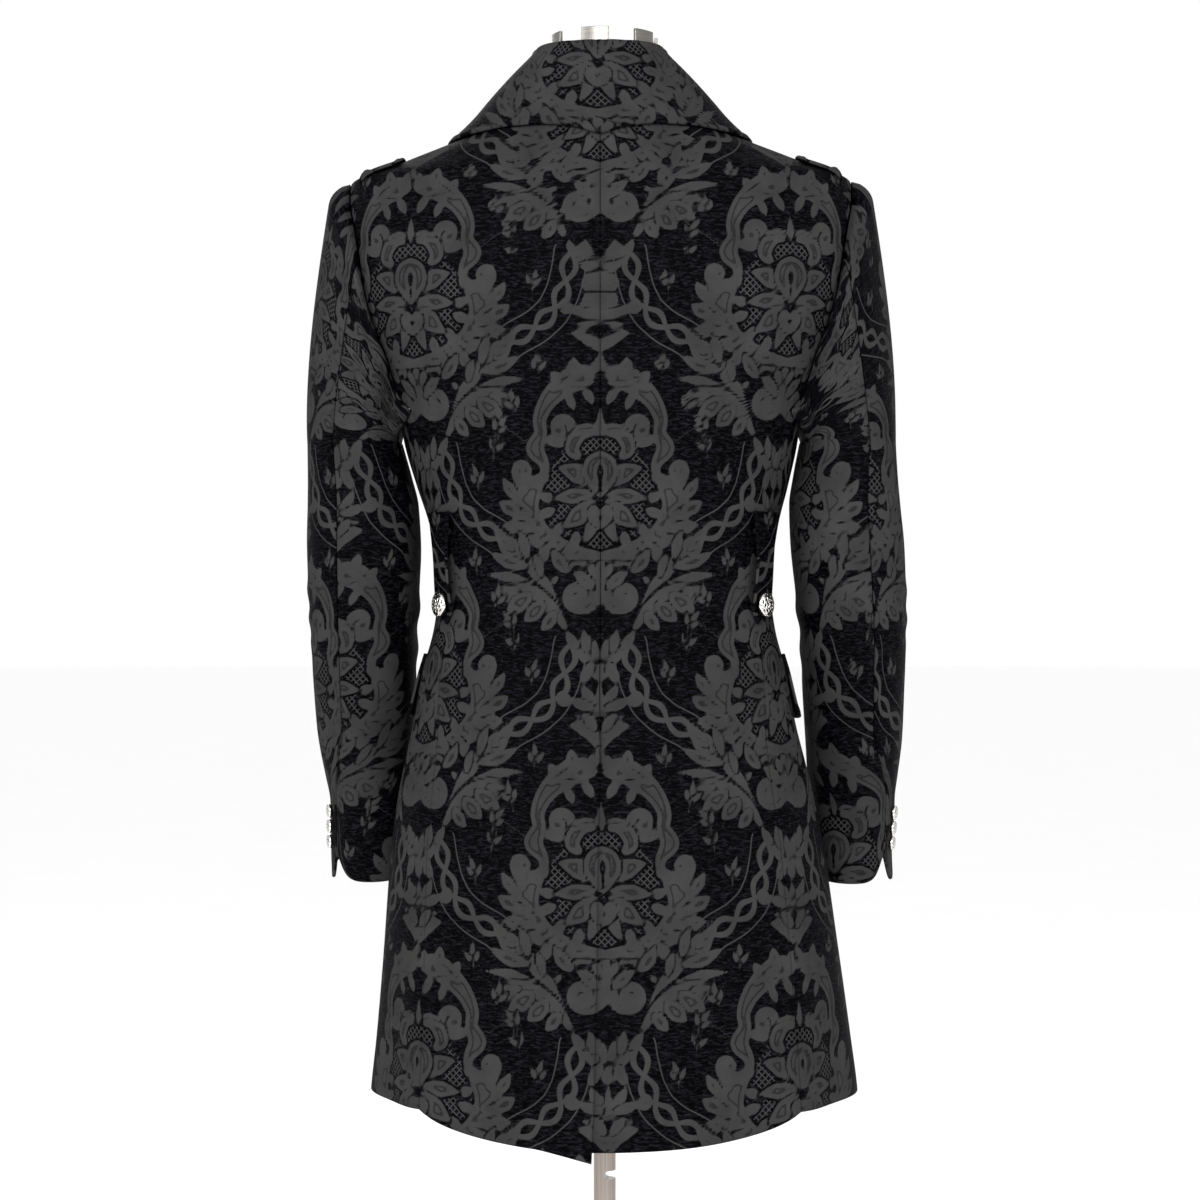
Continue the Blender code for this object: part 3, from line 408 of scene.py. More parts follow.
# The crossed acanthus branches: a tall leaf, a long thin one and a broad one below
stroke([(35, -110), (49, -86), (65, -65), (81, -48), (97, -31)], (3, 5.4, 6.4, 5.0, 1.4), 26)
leaflet(67, -69, 8, 38, 5.8, 26)
leaflet(79, -54, 34, 28, 5.4, 30)
leaflet(66, -61, 82, 24, 4.6, -20)
leaflet(53, -77, 84, 20, 3.8, -24)
stroke([(44, -97), (62, -85), (84, -78), (106, -76)], (1.2, 3.4, 4.6, 0.8), 18)
stroke([(30, -123), (42, -107), (58, -95), (76, -89), (90, -89)], (2.2, 5.5, 7.5, 6.5, 3.0), 24)
for lobe in (
    (75, -90, -24, 24, 6.6),
    (64, -94, -42, 25, 7.6),
    (52, -101, -52, 22, 7.2),
    (41, -110, -60, 18, 5.6),
):
    leaflet(*lobe, 18, 1.5)

# The wings and the crown, then a hanging flower
stroke([(1, -168), (4, -156), (11, -146), (21, -138), (27, -129)], (1.6, 5.5, 7.2, 5.2, 1.6), 18)
leaflet(6, -152, -52, 24, 4.8, -26)
leaflet(2, -150, 84, 26, 4.0, -34)
leaflet(11, -142, 74, 20, 4.0, 10)
leaflet(20, -137, 36, 16, 4.2, 30)
stroke([(0, -172), (0, -184), (0, -197)], (1.6, 4.0, 0.8), 8)
leaflet(4, -186, 38, 20, 4.6, 34)
leaflet(5, -190, 4, 26, 4.4, 40)
leaflet(3, -195, -30, 20, 3.8, 46)
curl(31, -181, 7, 200, 1.0, 2.6, 2.1)
stroke([(0, -226), (4, -215), (12, -208), (25, -205)], (2.4, 6.4, 7.0, 1.2), 16)
leaflet(3, -209, 62, 18, 4.4, -26)
leaflet(0, -224, -90, 13, 2.4, 0)

# Small sprigs that fill the ground
for x, y, heading in ((76, 66, 70), (116, -70, 82), (76, -138, 70), (94, 46, 118), (60, -166, 96)):
    leaflet(x, y, heading, 20, 2.7, 20)
    leaflet(x, y, heading + 44, 13, 2.3, -20)
    leaflet(x, y, heading - 42, 14, 2.3, 20)
    stroke([(x, y), (x - 3 * math.cos(math.radians(heading)), y - 9)], (1.2, 0.6), 5)

# The plaited strap runs from under the wings down to the next column's branch
STRAP = [(26, -136), (28, -150), (33, -170), (42, -187), (57, -200), (77, -210), (92, -222)]


def images(points):
    """Copies of points of across and up by the cloth's mirrors and half drops."""
    copies = []
    for step in (-1, 0, 1, 2):
        for flip in (1, -1):
            for drop in (-2, -1, 0, 1, 2):
                copy = points.copy()
                copy[:, 0] = copy[:, 0] * flip + step * COLUMN
                copy[:, 1] += (drop + 0.5 * (step % 2)) * REPEAT
                copies.append((copy, flip))
    return copies


STEP = 1.5
grid_x = np.arange(0, COLUMN + STEP, STEP)
grid_y = np.arange(0, REPEAT, STEP)
tile = np.stack(np.meshgrid(grid_x, grid_y), -1).reshape(-1, 2)
middle, reach = np.array([COLUMN, REPEAT]) / 2, np.array([COLUMN, REPEAT]) / 2 + 24
FAR = 99.0
figure = np.full(len(tile), FAR)
for shape, cut in spots:
    around_tile = np.concatenate([copy for copy, _ in images(shape)])
    around_tile = around_tile[(np.abs(around_tile[:, :2] - middle) < reach).all(1)]
    if len(around_tile):
        away = np.linalg.norm(tile[:, None] - around_tile[None, :, :2], axis=-1)
        away = (away - around_tile[None, :, 2]).min(1)
        if cut is None:
            figure = np.maximum(figure, -away)
        else:
            figure = np.minimum(np.maximum(figure, cut - away), away)

line_t = np.linspace(0, 1, 60)
knots = np.linspace(0, 1, len(STRAP))
centre_line = np.column_stack([np.interp(line_t, knots, places) for places in zip(*STRAP)])
for _ in range(6):
    centre_line[1:-1] = (centre_line[:-2] + centre_line[2:] + 2 * centre_line[1:-1]) / 4
run_at = np.concatenate([[0], np.cumsum(np.linalg.norm(np.diff(centre_line, axis=0), axis=1))])
strap_off = np.full(len(tile), FAR)
strap_run = np.zeros(len(tile))
for copy, flip in images(centre_line):
    away = np.linalg.norm(tile[:, None] - copy[None], axis=-1)
    nearest = away.argmin(1)
    least = away[np.arange(len(tile)), nearest]
    ahead = np.gradient(copy, axis=0)
    ahead = ahead / np.linalg.norm(ahead, axis=1, keepdims=True)
    offset = tile - copy[nearest]
    across = flip * (ahead[nearest, 0] * offset[:, 1] - ahead[nearest, 1] * offset[:, 0])
    along = (ahead[nearest] * offset).sum(1)
    closer = least < np.abs(strap_off)
    strap_off = np.where(closer, np.sign(across) * least, strap_off)
    strap_run = np.where(closer, run_at[nearest] + along, strap_run)

# Where the shield shows a net of fine threads
net = np.full(len(tile), FAR)
for copy, _ in images(np.array([(0, -10.0), (14, 34.0)])):
    wide = np.linalg.norm((tile - copy[0]) / np.array([1.2, 1]), axis=1) - 45
    small = np.linalg.norm((tile - copy[1]) / np.array([1.3, 1]), axis=1) - 16
    net = np.minimum(net, np.minimum(wide, small))

FIELDS = {
    name: values.reshape(len(grid_y), len(grid_x))
    for name, values in (
        ("figure", figure),
        ("strap", strap_off),
        ("run", strap_run),
        ("net", net),
    )
}


def drawn(values, across, up):
    """A drawn field at places of the cloth."""
    x = np.abs(across) % (2 * COLUMN)
    x = np.where(x > COLUMN, 2 * COLUMN - x, x) / STEP
    y = (up % REPEAT) / STEP
    i = np.clip(x.astype(int), 0, values.shape[1] - 2)
    j = np.floor(y).astype(int) % values.shape[0]
    fx, fy = x - i, y - np.floor(y)
    k = (j + 1) % values.shape[0]
    low = values[j, i] * (1 - fx) + values[j, i + 1] * fx
    high = values[k, i] * (1 - fx) + values[k, i + 1] * fx
    return low * (1 - fy) + high * fy


def mark(mesh, label, values):
    """Keep a number at each point of a mesh."""
    mesh.attributes.new(label, "FLOAT", "POINT").data.foreach_set("value", values)


def shown(name, mesh, material):
    """A mesh as a piece of the scene, in one material."""
    mesh.materials.append(material)
    piece = bpy.data.objects.new(name, mesh)
    bpy.context.scene.collection.objects.link(piece)
    return piece


def shell(name, outer, inner, across, up, material, cells=None):
    """A closed piece of cloth between two like grids, with rounded edges.

    Each point keeps the drawn fields, whether it is on the inside, and its place on the cloth.
    """
    rows, columns = outer.shape[:2]
    if cells is None:
        cells = np.ones((rows - 1, columns - 1), bool)
    first = (np.arange(rows - 1)[:, None] * columns + np.arange(columns - 1)[None])[cells]
    quads = np.stack([first, first + 1, first + 1 + columns, first + columns], 1)
    outer, inner = outer.reshape(-1, 3).copy(), inner.reshape(-1, 3).copy()
    count = len(outer)
    corner = outer[quads[:, 0]]
    normal = np.cross(outer[quads[:, 1]] - corner, outer[quads[:, 3]] - corner)
    if (normal * (outer - inner)[quads[:, 0]]).sum() < 0:
        quads = quads[:, ::-1]
    edges = np.concatenate([quads[:, [k, (k + 1) % 4]] for k in range(4)])
    owner = np.tile(np.arange(len(quads)), 4)
    keys = edges.min(1) * count + edges.max(1)
    _, which, times = np.unique(keys, return_inverse=True, return_counts=True)
    border = times[which] == 1
    edges, owner = edges[border], owner[border]
    start, end = outer[edges[:, 0]], outer[edges[:, 1]]
    ahead = (end - start) / np.linalg.norm(end - start, axis=1, keepdims=True)
    away = (start + end) / 2 - outer[quads[owner]].mean(1)
    away -= (away * ahead).sum(1, keepdims=True) * ahead
    away /= np.linalg.norm(away, axis=1, keepdims=True)
    pull = np.zeros((count, 3))
    np.add.at(pull, edges[:, 0], away)
    np.add.at(pull, edges[:, 1], away)
    rim = np.unique(edges)
    pull[rim] /= np.linalg.norm(pull[rim], axis=1, keepdims=True)
    rim_points = (outer[rim] + inner[rim]) / 2
    outer[rim] -= pull[rim] * LIP
    inner[rim] -= pull[rim] * LIP
    rim_index = np.zeros(count, int)
    rim_index[rim] = 2 * count + np.arange(len(rim))
    a, b = edges.T
    faces = [quads, quads[:, ::-1] + count]
    faces.append(np.stack([b, a, rim_index[a], rim_index[b]], 1))
    faces.append(np.stack([rim_index[b], rim_index[a], a + count, b + count], 1))
    faces = np.concatenate(faces)
    used = np.unique(faces)
    place = np.zeros(2 * count + len(rim), int)
    place[used] = np.arange(len(used))
    points = np.concatenate([outer, inner, rim_points])[used] * MM
    source = np.concatenate([np.arange(count), np.arange(count), rim])[used]
    faces = place[faces]
    mesh = bpy.data.meshes.new(name)
    mesh.vertices.add(len(points))
    mesh.vertices.foreach_set("co", points.ravel())
    mesh.loops.add(faces.size)
    mesh.loops.foreach_set("vertex_index", faces.ravel().astype(np.int32))
    mesh.polygons.add(len(faces))
    mesh.polygons.foreach_set("loop_start", np.arange(0, faces.size, 4, dtype=np.int32))
    mesh.polygons.foreach_set("use_smooth", np.ones(len(faces), bool))
    mesh.update(calc_edges=True)
    across, up = across.ravel()[source], up.ravel()[source]
    for label, values in FIELDS.items():
        mark(mesh, label, drawn(values, across, up))
    mark(mesh, "inside", ((used >= count) & (used < 2 * count)).astype(float))
    flat = np.column_stack([across, up])[faces.ravel()] * MM
    mesh.uv_layers.new(name="cloth").data.foreach_set("uv", flat.ravel())
    return shown(name, mesh, material)


def node(tree, kind, values=None, **settings):
    """A node with its settings, its values set and its inputs linked."""
    made = tree.nodes.new(kind)
    for key, value in settings.items():
        setattr(made, key, value)
    for key, value in (values or {}).items():
        if isinstance(value, bpy.types.NodeSocket):
            tree.links.new(value, made.inputs[key])
        else:
            made.inputs[key].default_value = value
    return made


def maths(tree, operation, *values):
    """A sum or a test on values and sockets."""
    return node(tree, "ShaderNodeMath", dict(enumerate(values)), operation=operation).outputs[0]


def soft_step(tree, value, start, end):
    """Nought below start and one above end, or the other way round."""
    picked = {"Value": value, "From Min": start, "From Max": end}
    return node(tree, "ShaderNodeMapRange", picked, interpolation_type="SMOOTHSTEP").outputs[0]


def field(tree, name):
    return node(tree, "ShaderNodeAttribute", attribute_name=name).outputs["Fac"]


def stretch(tree, at, scale):
    return node(tree, "ShaderNodeMapping", {"Vector": at, "Scale": scale}).outputs[0]


def noise(tree, at, scale, detail, **more):
    """Noise over a surface, by its places and how fine it is."""
    values = {"Vector": at, "Scale": scale, "Detail": detail, **more}
    return node(tree, "ShaderNodeTexNoise", values).outputs["Fac"]


def blend(tree, share, first, second, how="MIX"):
    """A colour between two others, or one times the other."""
    values = {"Factor": share, "A": first, "B": second}
    return node(tree, "ShaderNodeMix", values, data_type="RGBA", blend_type=how).outputs["Result"]


def fresh(name, metallic=0.0, roughness=0.5):
    """A new material, its node tree and its shader."""
    material = bpy.data.materials.new(name)
    material.use_nodes = True
    shader = material.node_tree.nodes["Principled BSDF"]
    shader.inputs["Metallic"].default_value = metallic
    shader.inputs["Roughness"].default_value = roughness
    return material, material.node_tree, shader


def finish_with(tree, shader, colour, height, strength, distance, rough=None):
    """Feed the shader its colour, its relief and, where it changes, its roughness."""
    relief = {"Height": height, "Strength": strength, "Distance": distance}
    tree.links.new(colour, shader.inputs["Base Color"])
    tree.links.new(node(tree, "ShaderNodeBump", relief).outputs[0], shader.inputs["Normal"])
    if rough is not None:
        tree.links.new(rough, shader.inputs["Roughness"])


def group(name, inputs, outputs):
    """An empty node group with named number, vector and colour sockets."""
    made = bpy.data.node_groups.new(name, "ShaderNodeTree")
    for direction, sockets in (("INPUT", inputs), ("OUTPUT", outputs)):
        for label, kind in sockets:
            made.interface.new_socket(label, in_out=direction, socket_type=f"NodeSocket{kind}")
    return made, made.nodes.new("NodeGroupInput").outputs, made.nodes.new("NodeGroupOutput").inputs


# The weave: slubs and crinkles that run across the cloth, and a fine rib of threads. The slub mask raises
# the slubs and also places a painted highlight on them.
weave, weave_in, weave_out = group(
    "cloth_weave",
    [("Cloth", "Vector"), ("Slub", "Float")],
    [("CrinkleAndHighlight", "Float"), ("Thread", "Float"), ("Patch", "Float")],
)
slub_at = stretch(weave, weave_in["Cloth"], (150, 520, 1))
slubs = soft_step(weave, noise(weave, slub_at, 1.0, 3.0, Roughness=0.62, Distortion=0.9), 0.44, 0.68)
thread_at = stretch(weave, weave_in["Cloth"], (1500, 2300, 1))
weave.links.new(maths(weave, "MULTIPLY", slubs, weave_in["Slub"]), weave_out["CrinkleAndHighlight"])
weave.links.new(noise(weave, thread_at, 1.0, 2.0, Roughness=0.7), weave_out["Thread"])
weave.links.new(noise(weave, weave_in["Cloth"], 26.0, 3.0, Roughness=0.6), weave_out["Patch"])

# The damask figure, cut out of the drawn fields at the cloth's own thread steps
damask, damask_in, damask_out = group(
    "damask_figure", [("Cloth", "Vector"), ("Thread", "Float")], [("Figure", "Float"), ("Relief", "Float")]
)
VEIN_IN = 4.3
PLAIT_LENGTH = 25
PLAIT_SWING = 6.2
CORD_OFF = 15.0
NET_CELL = 0.0058
jagged = maths(damask, "MULTIPLY", maths(damask, "SUBTRACT", damask_in["Thread"], 0.5), 2.6)
figure_edge = maths(damask, "ADD", field(damask, "figure"), jagged)
filled = soft_step(damask, figure_edge, 0.35, -0.35)
vein = maths(damask, "ABSOLUTE", maths(damask, "ADD", figure_edge, VEIN_IN))
vein = maths(damask, "MAXIMUM", soft_step(damask, vein, 0.35, 0.8), 0.45)
filled = maths(damask, "MULTIPLY", filled, vein)
strap_edge = maths(damask, "ABSOLUTE", field(damask, "strap"))
turns = maths(damask, "MULTIPLY", field(damask, "run"), math.pi / PLAIT_LENGTH)
swing = maths(damask, "ABSOLUTE", maths(damask, "SINE", turns))
swing = maths(damask, "MULTIPLY", swing, PLAIT_SWING)
link = maths(damask, "ABSOLUTE", maths(damask, "SUBTRACT", strap_edge, swing))
link = soft_step(damask, maths(damask, "ADD", link, jagged), 3.0, 2.3)
cord_line = maths(damask, "ABSOLUTE", maths(damask, "SUBTRACT", strap_edge, CORD_OFF))
cord_line = maths(damask, "ADD", cord_line, maths(damask, "MULTIPLY", jagged, 0.4))
cord_line = soft_step(damask, cord_line, 0.9, 0.35)
ends = [soft_step(damask, field(damask, "run"), *pair) for pair in ((-6.0, -4.0), (122.0, 119.0))]
along_strap = maths(damask, "MULTIPLY", *ends)
strap_part = maths(damask, "MULTIPLY", maths(damask, "MAXIMUM", link, cord_line), along_strap)
lines = node(damask, "ShaderNodeSeparateXYZ", {"Vector": damask_in["Cloth"]}).outputs
slant = []
for sign in (1, -1):
    both = maths(damask, "ADD", lines["X"], maths(damask, "MULTIPLY", lines["Y"], sign))
    wave = maths(damask, "SINE", maths(damask, "MULTIPLY", both, math.pi / NET_CELL))
    slant.append(soft_step(damask, maths(damask, "ABSOLUTE", wave), 0.5, 0.32))
hatch = maths(damask, "MAXIMUM", *slant)
in_net = soft_step(damask, field(damask, "net"), 0.4, -0.4)
off_figure = soft_step(damask, field(damask, "figure"), 1.6, 2.4)
netting = maths(damask, "MULTIPLY", maths(damask, "MULTIPLY", hatch, in_net), off_figure)
whole = maths(damask, "MAXIMUM", maths(damask, "MAXIMUM", filled, strap_part), netting)
damask.links.new(whole, damask_out["Figure"])
damask.links.new(maths(damask, "MULTIPLY", whole, 0.6), damask_out["Relief"])


GROUND_DEEP = 0.2
# The ground's colour times this, on the raised slubs, is a painted highlight that stands in for the
# satin's sheen.
PAINTED_SLUB_HIGHLIGHT = 8.5
LINING = (0.006, 0.006, 0.007)


def damask_cloth(name, ground, figure_colour, slub):
    """Black satin ground with slubs raised and painted bright as highlights, a matte grey figure, and a
    smooth dark lining inside.
    """
    material, tree, shader = fresh(name)
    # Little real gloss: the satin's sheen is painted into the slubs' colour as a highlight instead.
    shader.inputs["Specular IOR Level"].default_value = 0.015
    cloth = node(tree, "ShaderNodeUVMap", uv_map="cloth").outputs[0]
    woven = node(tree, "ShaderNodeGroup", {}, node_tree=weave)
    tree.links.new(cloth, woven.inputs["Cloth"])
    woven.inputs["Slub"].default_value = slub
    crinkle_and_highlight, thread, patch_tone = woven.outputs
    drawn_on = node(tree, "ShaderNodeGroup", {}, node_tree=damask)
    tree.links.new(cloth, drawn_on.inputs["Cloth"])
    tree.links.new(thread, drawn_on.inputs["Thread"])
    figure_mask, relief = drawn_on.outputs
    deep = (*(c * GROUND_DEEP for c in ground), 1)
    # The slubs' colour: a painted highlight, the satin's sheen put into the colour.
    painted_highlight = (*(c * PAINTED_SLUB_HIGHLIGHT for c in ground), 1)
    shade = maths(tree, "ADD", maths(tree, "MULTIPLY", thread, 0.9), 0.55)
    shade = maths(tree, "MULTIPLY", shade, maths(tree, "ADD", patch_tone, 0.5))
    figure_tone = blend(tree, 1.0, (*figure_colour, 1), shade, "MULTIPLY")
    # The ground runs from its near black to the painted highlight along the crinkle mask, which also
    # raises the slubs in the relief below.
    face = blend(tree, figure_mask, blend(tree, crinkle_and_highlight, deep, painted_highlight), figure_tone)
    colour = blend(tree, field(tree, "inside"), face, (*LINING, 1))
    rough = maths(tree, "ADD", maths(tree, "MULTIPLY", figure_mask, 0.28), 0.6)
    ground_rise = maths(tree, "MULTIPLY", crinkle_and_highlight, maths(tree, "SUBTRACT", 1.0, figure_mask))
    rise = maths(tree, "ADD", maths(tree, "MULTIPLY", ground_rise, 0.9), relief)
    rise = maths(tree, "ADD", rise, maths(tree, "MULTIPLY", thread, 0.35))
    finish_with(tree, shader, colour, rise, 0.5, 0.0009, rough)
    return material


BLACK = (0.0008, 0.0008, 0.0011)
DARK_GREY = (0.0250, 0.0248, 0.0246)
coat_cloth = damask_cloth("black_damask", BLACK, DARK_GREY, 1.0)

CREASES = (
    # across, height, end_across, end_height, spread, deep
    (60, 1085, 140, 1062, 9, 1.0),
    (-55, 1078, -142, 1052, 9, 1.1),
    (78, 1050, 138, 1028, 7, 0.8),
    (-84, 1040, -136, 1022, 7, 0.8),
    (176, 1215, 120, 1300, 12, 1.6),
    (-178, 1215, -126, 1296, 12, 1.5),
    (150, 1190, 96, 1262, 11, 1.0),
    (-150, 1188, -92, 1258, 11, 1.1),
    (-10, 1432, -96, 1404, 9, 0.9),
    (12, 1430, 92, 1406, 9, 0.8),
    (100, 905, 60, 790, 12, 1.2),
    (-104, 900, -66, 780, 13, 1.2),
    (30, 868, 52, 740, 10, 1.0),
    (-26, 862, -44, 730, 10, 1.0),
)


def crease_lift(x, z, creases):
    """Soft creases: each swells along its own line and dies out at its ends."""
    lift = 0 * x
    for x0, z0, x1, z1, wide, deep in creases:
        along_x, along_z = x1 - x0, z1 - z0
        length = math.hypot(along_x, along_z)
        t = ((x - x0) * along_x + (z - z0) * along_z) / length**2
        off = ((x - x0) * along_z - (z - z0) * along_x) / length
        ends = fade(t, -0.15, 0.35) * (1 - fade(t, 0.65, 1.15))
        lift = lift + deep * ends * np.exp(-((off / wide) ** 2))
        lift = lift - 0.6 * deep * ends * np.exp(-(((off - 1.9 * wide) / wide) ** 2))
    return lift


def cloth_round(angle, height):
    """How far round the coat a place is from the centre back, along the cloth."""
    first, second = body(angle[:, :-1], height[:, :-1]), body(angle[:, 1:], height[:, 1:])
    first[..., 2] = second[..., 2]
    steps = np.linalg.norm(second - first, axis=-1)
    start_angle = angle[:, :1] * np.linspace(0, 1, 40)[None]
    start = body(start_angle, np.broadcast_to(height[:, :1], start_angle.shape))
    run_in = np.linalg.norm(np.diff(start, axis=1), axis=-1).sum(1, keepdims=True)
    total = np.cumsum(np.concatenate([np.zeros((len(angle), 1)), steps], 1), 1)
    return total * np.sign(angle[:, -1:] - angle[:, :1]) + run_in


FIGURE_RISE = 1128.0


def named(kind, side):
    """The name of a piece on the wearer's left or right."""
    return f"{kind}_left" if side > 0 else f"{kind}_right"


def stands_for(piece, node_name):
    """Say which node a piece stands for and the body that it rides on."""
    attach(piece, "root")
    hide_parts(node_name)


def declare(piece, node_name):
    """Say what a piece of cloth stands for."""
    stands_for(piece, node_name)


def lying(name, angle, height, side, above, cells=None, drawn_at=None, creases=True):
    """A piece of cloth that follows the coat at a height above its outer face."""
    outer, out = body(angle, height), body_out(angle, height)
    above = np.asarray(above, float) + np.zeros(angle.shape)
    if creases:
        lift = crease_lift(side * outer[..., 0], height, CREASES)
        above = above + lift * np.where(outer[..., 1] > 0, 1, 0)
    face = placed(outer + out * above[..., None], side)
    back = placed(outer + out * (above - WALL)[..., None], side)
    across, up = drawn_at or (cloth_round(angle, height), height - FIGURE_RISE)
    piece = shell(f"{name}_cloth", face, back, across, up, coat_cloth, cells)
    declare(piece, name)


CELL = 2.7
BACK_SEAM = 17
BACK_ARM_TURNS = (*np.linspace(ARM_CORNER, BACK_SEAM, 6), *np.linspace(BACK_SEAM, 90, 6)[1:])


def panel_edge(v, seam, turns, gap, front):
    """A panel's edge along its side seam, armhole and shoulder, as an angle and a height.

    The whole part of v names the stretch and the rest of it how far along that stretch is.
    """
    if v <= 1:
        height = hem(90) + (SEAM_TOP - hem(90)) * v
        return beside(seam(height), height, gap), height
    if v <= 2:
        turn = np.interp((v - 1) * (len(turns) - 1), range(len(turns)), turns)
        height = ARM_MIDDLE + ARM_REACH * math.sin(math.radians(turn))
        edge = front_edge_x(height) if front else back_edge_x(height)
        angle, limit = float(angle_at(edge, height, front)), float(beside(90, height, gap))
        return (max(angle, limit) if front else min(angle, limit)), height
    height = SHOULDER_TIP + (NECK_SIDE - SHOULDER_TIP) * (v - 2)
    return beside(90, height, gap), height


def panel_rows(cell):
    """Row places up a panel's side seam, armhole and shoulder, and their shares of its height."""
    places = [even(606, cell), 1 + even(222, cell)[1:], 2 + even(150, cell)[1:]]
    v = np.concatenate(places)
    return v, np.interp(v, (0, 1, 2, 3), (0, 0.6, 0.84, 1))


def seam_groove(u, wide, deep=0.35):
    """The cloth turns in where a seam is pressed, at both ends of u."""
    near = np.minimum(u, 1 - u) * wide
    return -deep * np.exp(-((near / 2.6) ** 2))


def back_panel(side):
    """One back, from the centre back seam to the side back seam, armhole and shoulder."""
    left = side > 0

    def bottom(u):
        angle = u * beside(side_back(hem(90)), hem(90), -SEAM_GAP / 2)
        return angle, hem(angle)

    def top(u):
        return u * beside(90, NECK_SIDE, -SEAM_GAP / 2), NECK_BACK + (NECK_SIDE - NECK_BACK) * u

    def centre(v):
        height = float(np.interp(v, (0, 1, 2, 3), (hem(0), 1200, 1420, NECK_BACK)))
        return angle_at(SEAM_GAP / 2, height), height

    def outer_edge(v):
        return panel_edge(v, side_back, BACK_ARM_TURNS, -SEAM_GAP / 2, False)

    v, share = panel_rows(CELL)
    u = even(225, CELL)
    angle, height = patch(bottom, top, centre, outer_edge, v, u, share)
    groove = seam_groove(u[None], 225) * np.ones(angle.shape)
    cells = None
    if left:
        open_share = np.clip((VENT_TOP - height[:, :1]) / (VENT_TOP - hem(0)), 0, 1)
        edge = angle_at(SEAM_GAP / 2 + VENT_SPREAD * open_share, height[:, :1])
        angle = edge + (angle - angle[:, :1]) * (1 - edge / angle[:, -1:])
        corner = np.clip(1 - u[None] * 225 / 60, 0, 1) ** 1.5
        height = height - VENT_DROP * corner * fade(-height, -VENT_DROP_FROM, -hem(0) - 1)
        x = body(angle, height)[..., 0]
        above = LIFT * (1 - fade(x, UNDERLAP + 6, 95)) * (1 - fade(height, 895, 965))
        above = above + groove * fade(height, VENT_TOP - 20, VENT_TOP + 5)
    else:
        lap = np.linspace(UNDERLAP, 0, 13)[:-1]
        inset = np.stack([angle_at(-x, height[:, 0]) for x in lap], 1)
        angle = np.concatenate([inset, angle], 1)
        height = np.concatenate([np.repeat(height[:, :1], len(lap), 1), height], 1)
        above = np.concatenate([0 * inset, groove * fade(height[:, len(lap) :], 700, VENT_TOP)], 1)
        cells = np.ones((height.shape[0] - 1, height.shape[1] - 1), bool)
        cells[height[1:, 0] > VENT_TOP, : len(lap)] = False
    across = cloth_round(angle, height)
    if not left:
        across = across - 2 * across[:, :1]
    drawn_at = (across, height - FIGURE_RISE)
    lying(named("back", side), angle, height, side, above, cells, drawn_at)


back_panel(1)
back_panel(-1)

# The two side panels
# One piece each from the side back seam to the side front seam, under the arm, so that the
# coat has no seam straight down its side. The same damask, seamed to the backs and fronts.


def underarm(angle):
    """The height of the side panel's top edge."""
    low, high = side_back(SEAM_TOP), side_front(SEAM_TOP)
    middle, reach = (low + high) / 2, (high - low) / 2
    return UNDERARM + (SEAM_TOP - UNDERARM) * ((angle - middle) / reach) ** 2


def side_panel(side):
    """One side, between its two seams."""

    def across(u, height):
        start = beside(side_back(height), height, SEAM_GAP / 2)
        end = beside(side_front(height), height, -SEAM_GAP / 2)
        return start + (end - start) * u

    def bottom(u):
        return across(u, hem(90)), hem(90)

    def top(u):
        angle = across(u, SEAM_TOP)
        return angle, underarm(angle)

    def edge(u):
        def at(v):
            height = hem(90) + (SEAM_TOP - hem(90)) * v
            return across(u, height), height

        return at

    v, u = even(606, 3.6), even(150, 3.6)
    angle, height = patch(bottom, top, edge(0), edge(1), v, u)
    above = seam_groove(u[None], 130) + 0 * angle
    lying(named("side", side), angle, height, side, above)


side_panel(1)
side_panel(-1)

# The two fronts
# Each runs from its side front seam and armhole to the front edge, which the lapel is turned
# back from. The wearer's left front buttons over the right one.

OVERLAP = 20
BREAK = 1165
COLLAR_SHOULDER = 0.535
FRONT_SEAM = 207
FRONT_ARM_TURNS = (
    *np.linspace(180 - ARM_CORNER, FRONT_SEAM, 3),
    *np.linspace(FRONT_SEAM, 90, 8)[1:],
)
COLLAR = (
    # station, seam_angle, seam_height, fold_x, fold_y, fold_height, edge_angle, edge_height
    (0.00, 0, 1471.0, 0, 75, 1518.0, 0, 1432.0),
    (0.10, 14, 1471.0, 20, 73, 1518.0, 10, 1439.0),
    (0.20, 30, 1470.5, 38, 66, 1518.5, 24, 1442.0),
    (0.30, 47, 1470.0, 53, 51, 1519.5, 40, 1442.0),
    (0.40, 65, 1469.0, 62, 32, 1520.0, 54, 1440.0),
    (0.50, 83, 1468.0, 67, 10, 1520.0, 72, 1438.5),
    (0.60, 105, 1465.0, 68, -11, 1515.0, 98, 1436.5),
    (0.72, 132, 1457.0, 66, -33, 1501.0, 126, 1424.0),
    (0.86, 149, 1446.0, 60, -56, 1476.0, 142, 1405.0),
    (1.00, 160, 1433.0, 51, -78, 1444.0, 150, 1382.0),
)
collar_table = [column(COLLAR, i) for i in range(1, 8)]
seam_angle, seam_height, fold_x, fold_y, fold_height, edge_angle, edge_height = collar_table


def roll_x(height):
    """How far the roll line is from the middle. It starts past the middle, at the overlap."""
    top = body(seam_angle(1), seam_height(1))[0]
    share = np.clip((height - BREAK) / (seam_height(1) - BREAK), 0, 1)
    return -OVERLAP + (top - 3 + OVERLAP) * share


def front_lift(x, height):
    """The left front lies over the right one where they overlap."""
    return LIFT * (1 - fade(x, OVERLAP + 16, 90)) * (1 - fade(height, 1240, 1320))


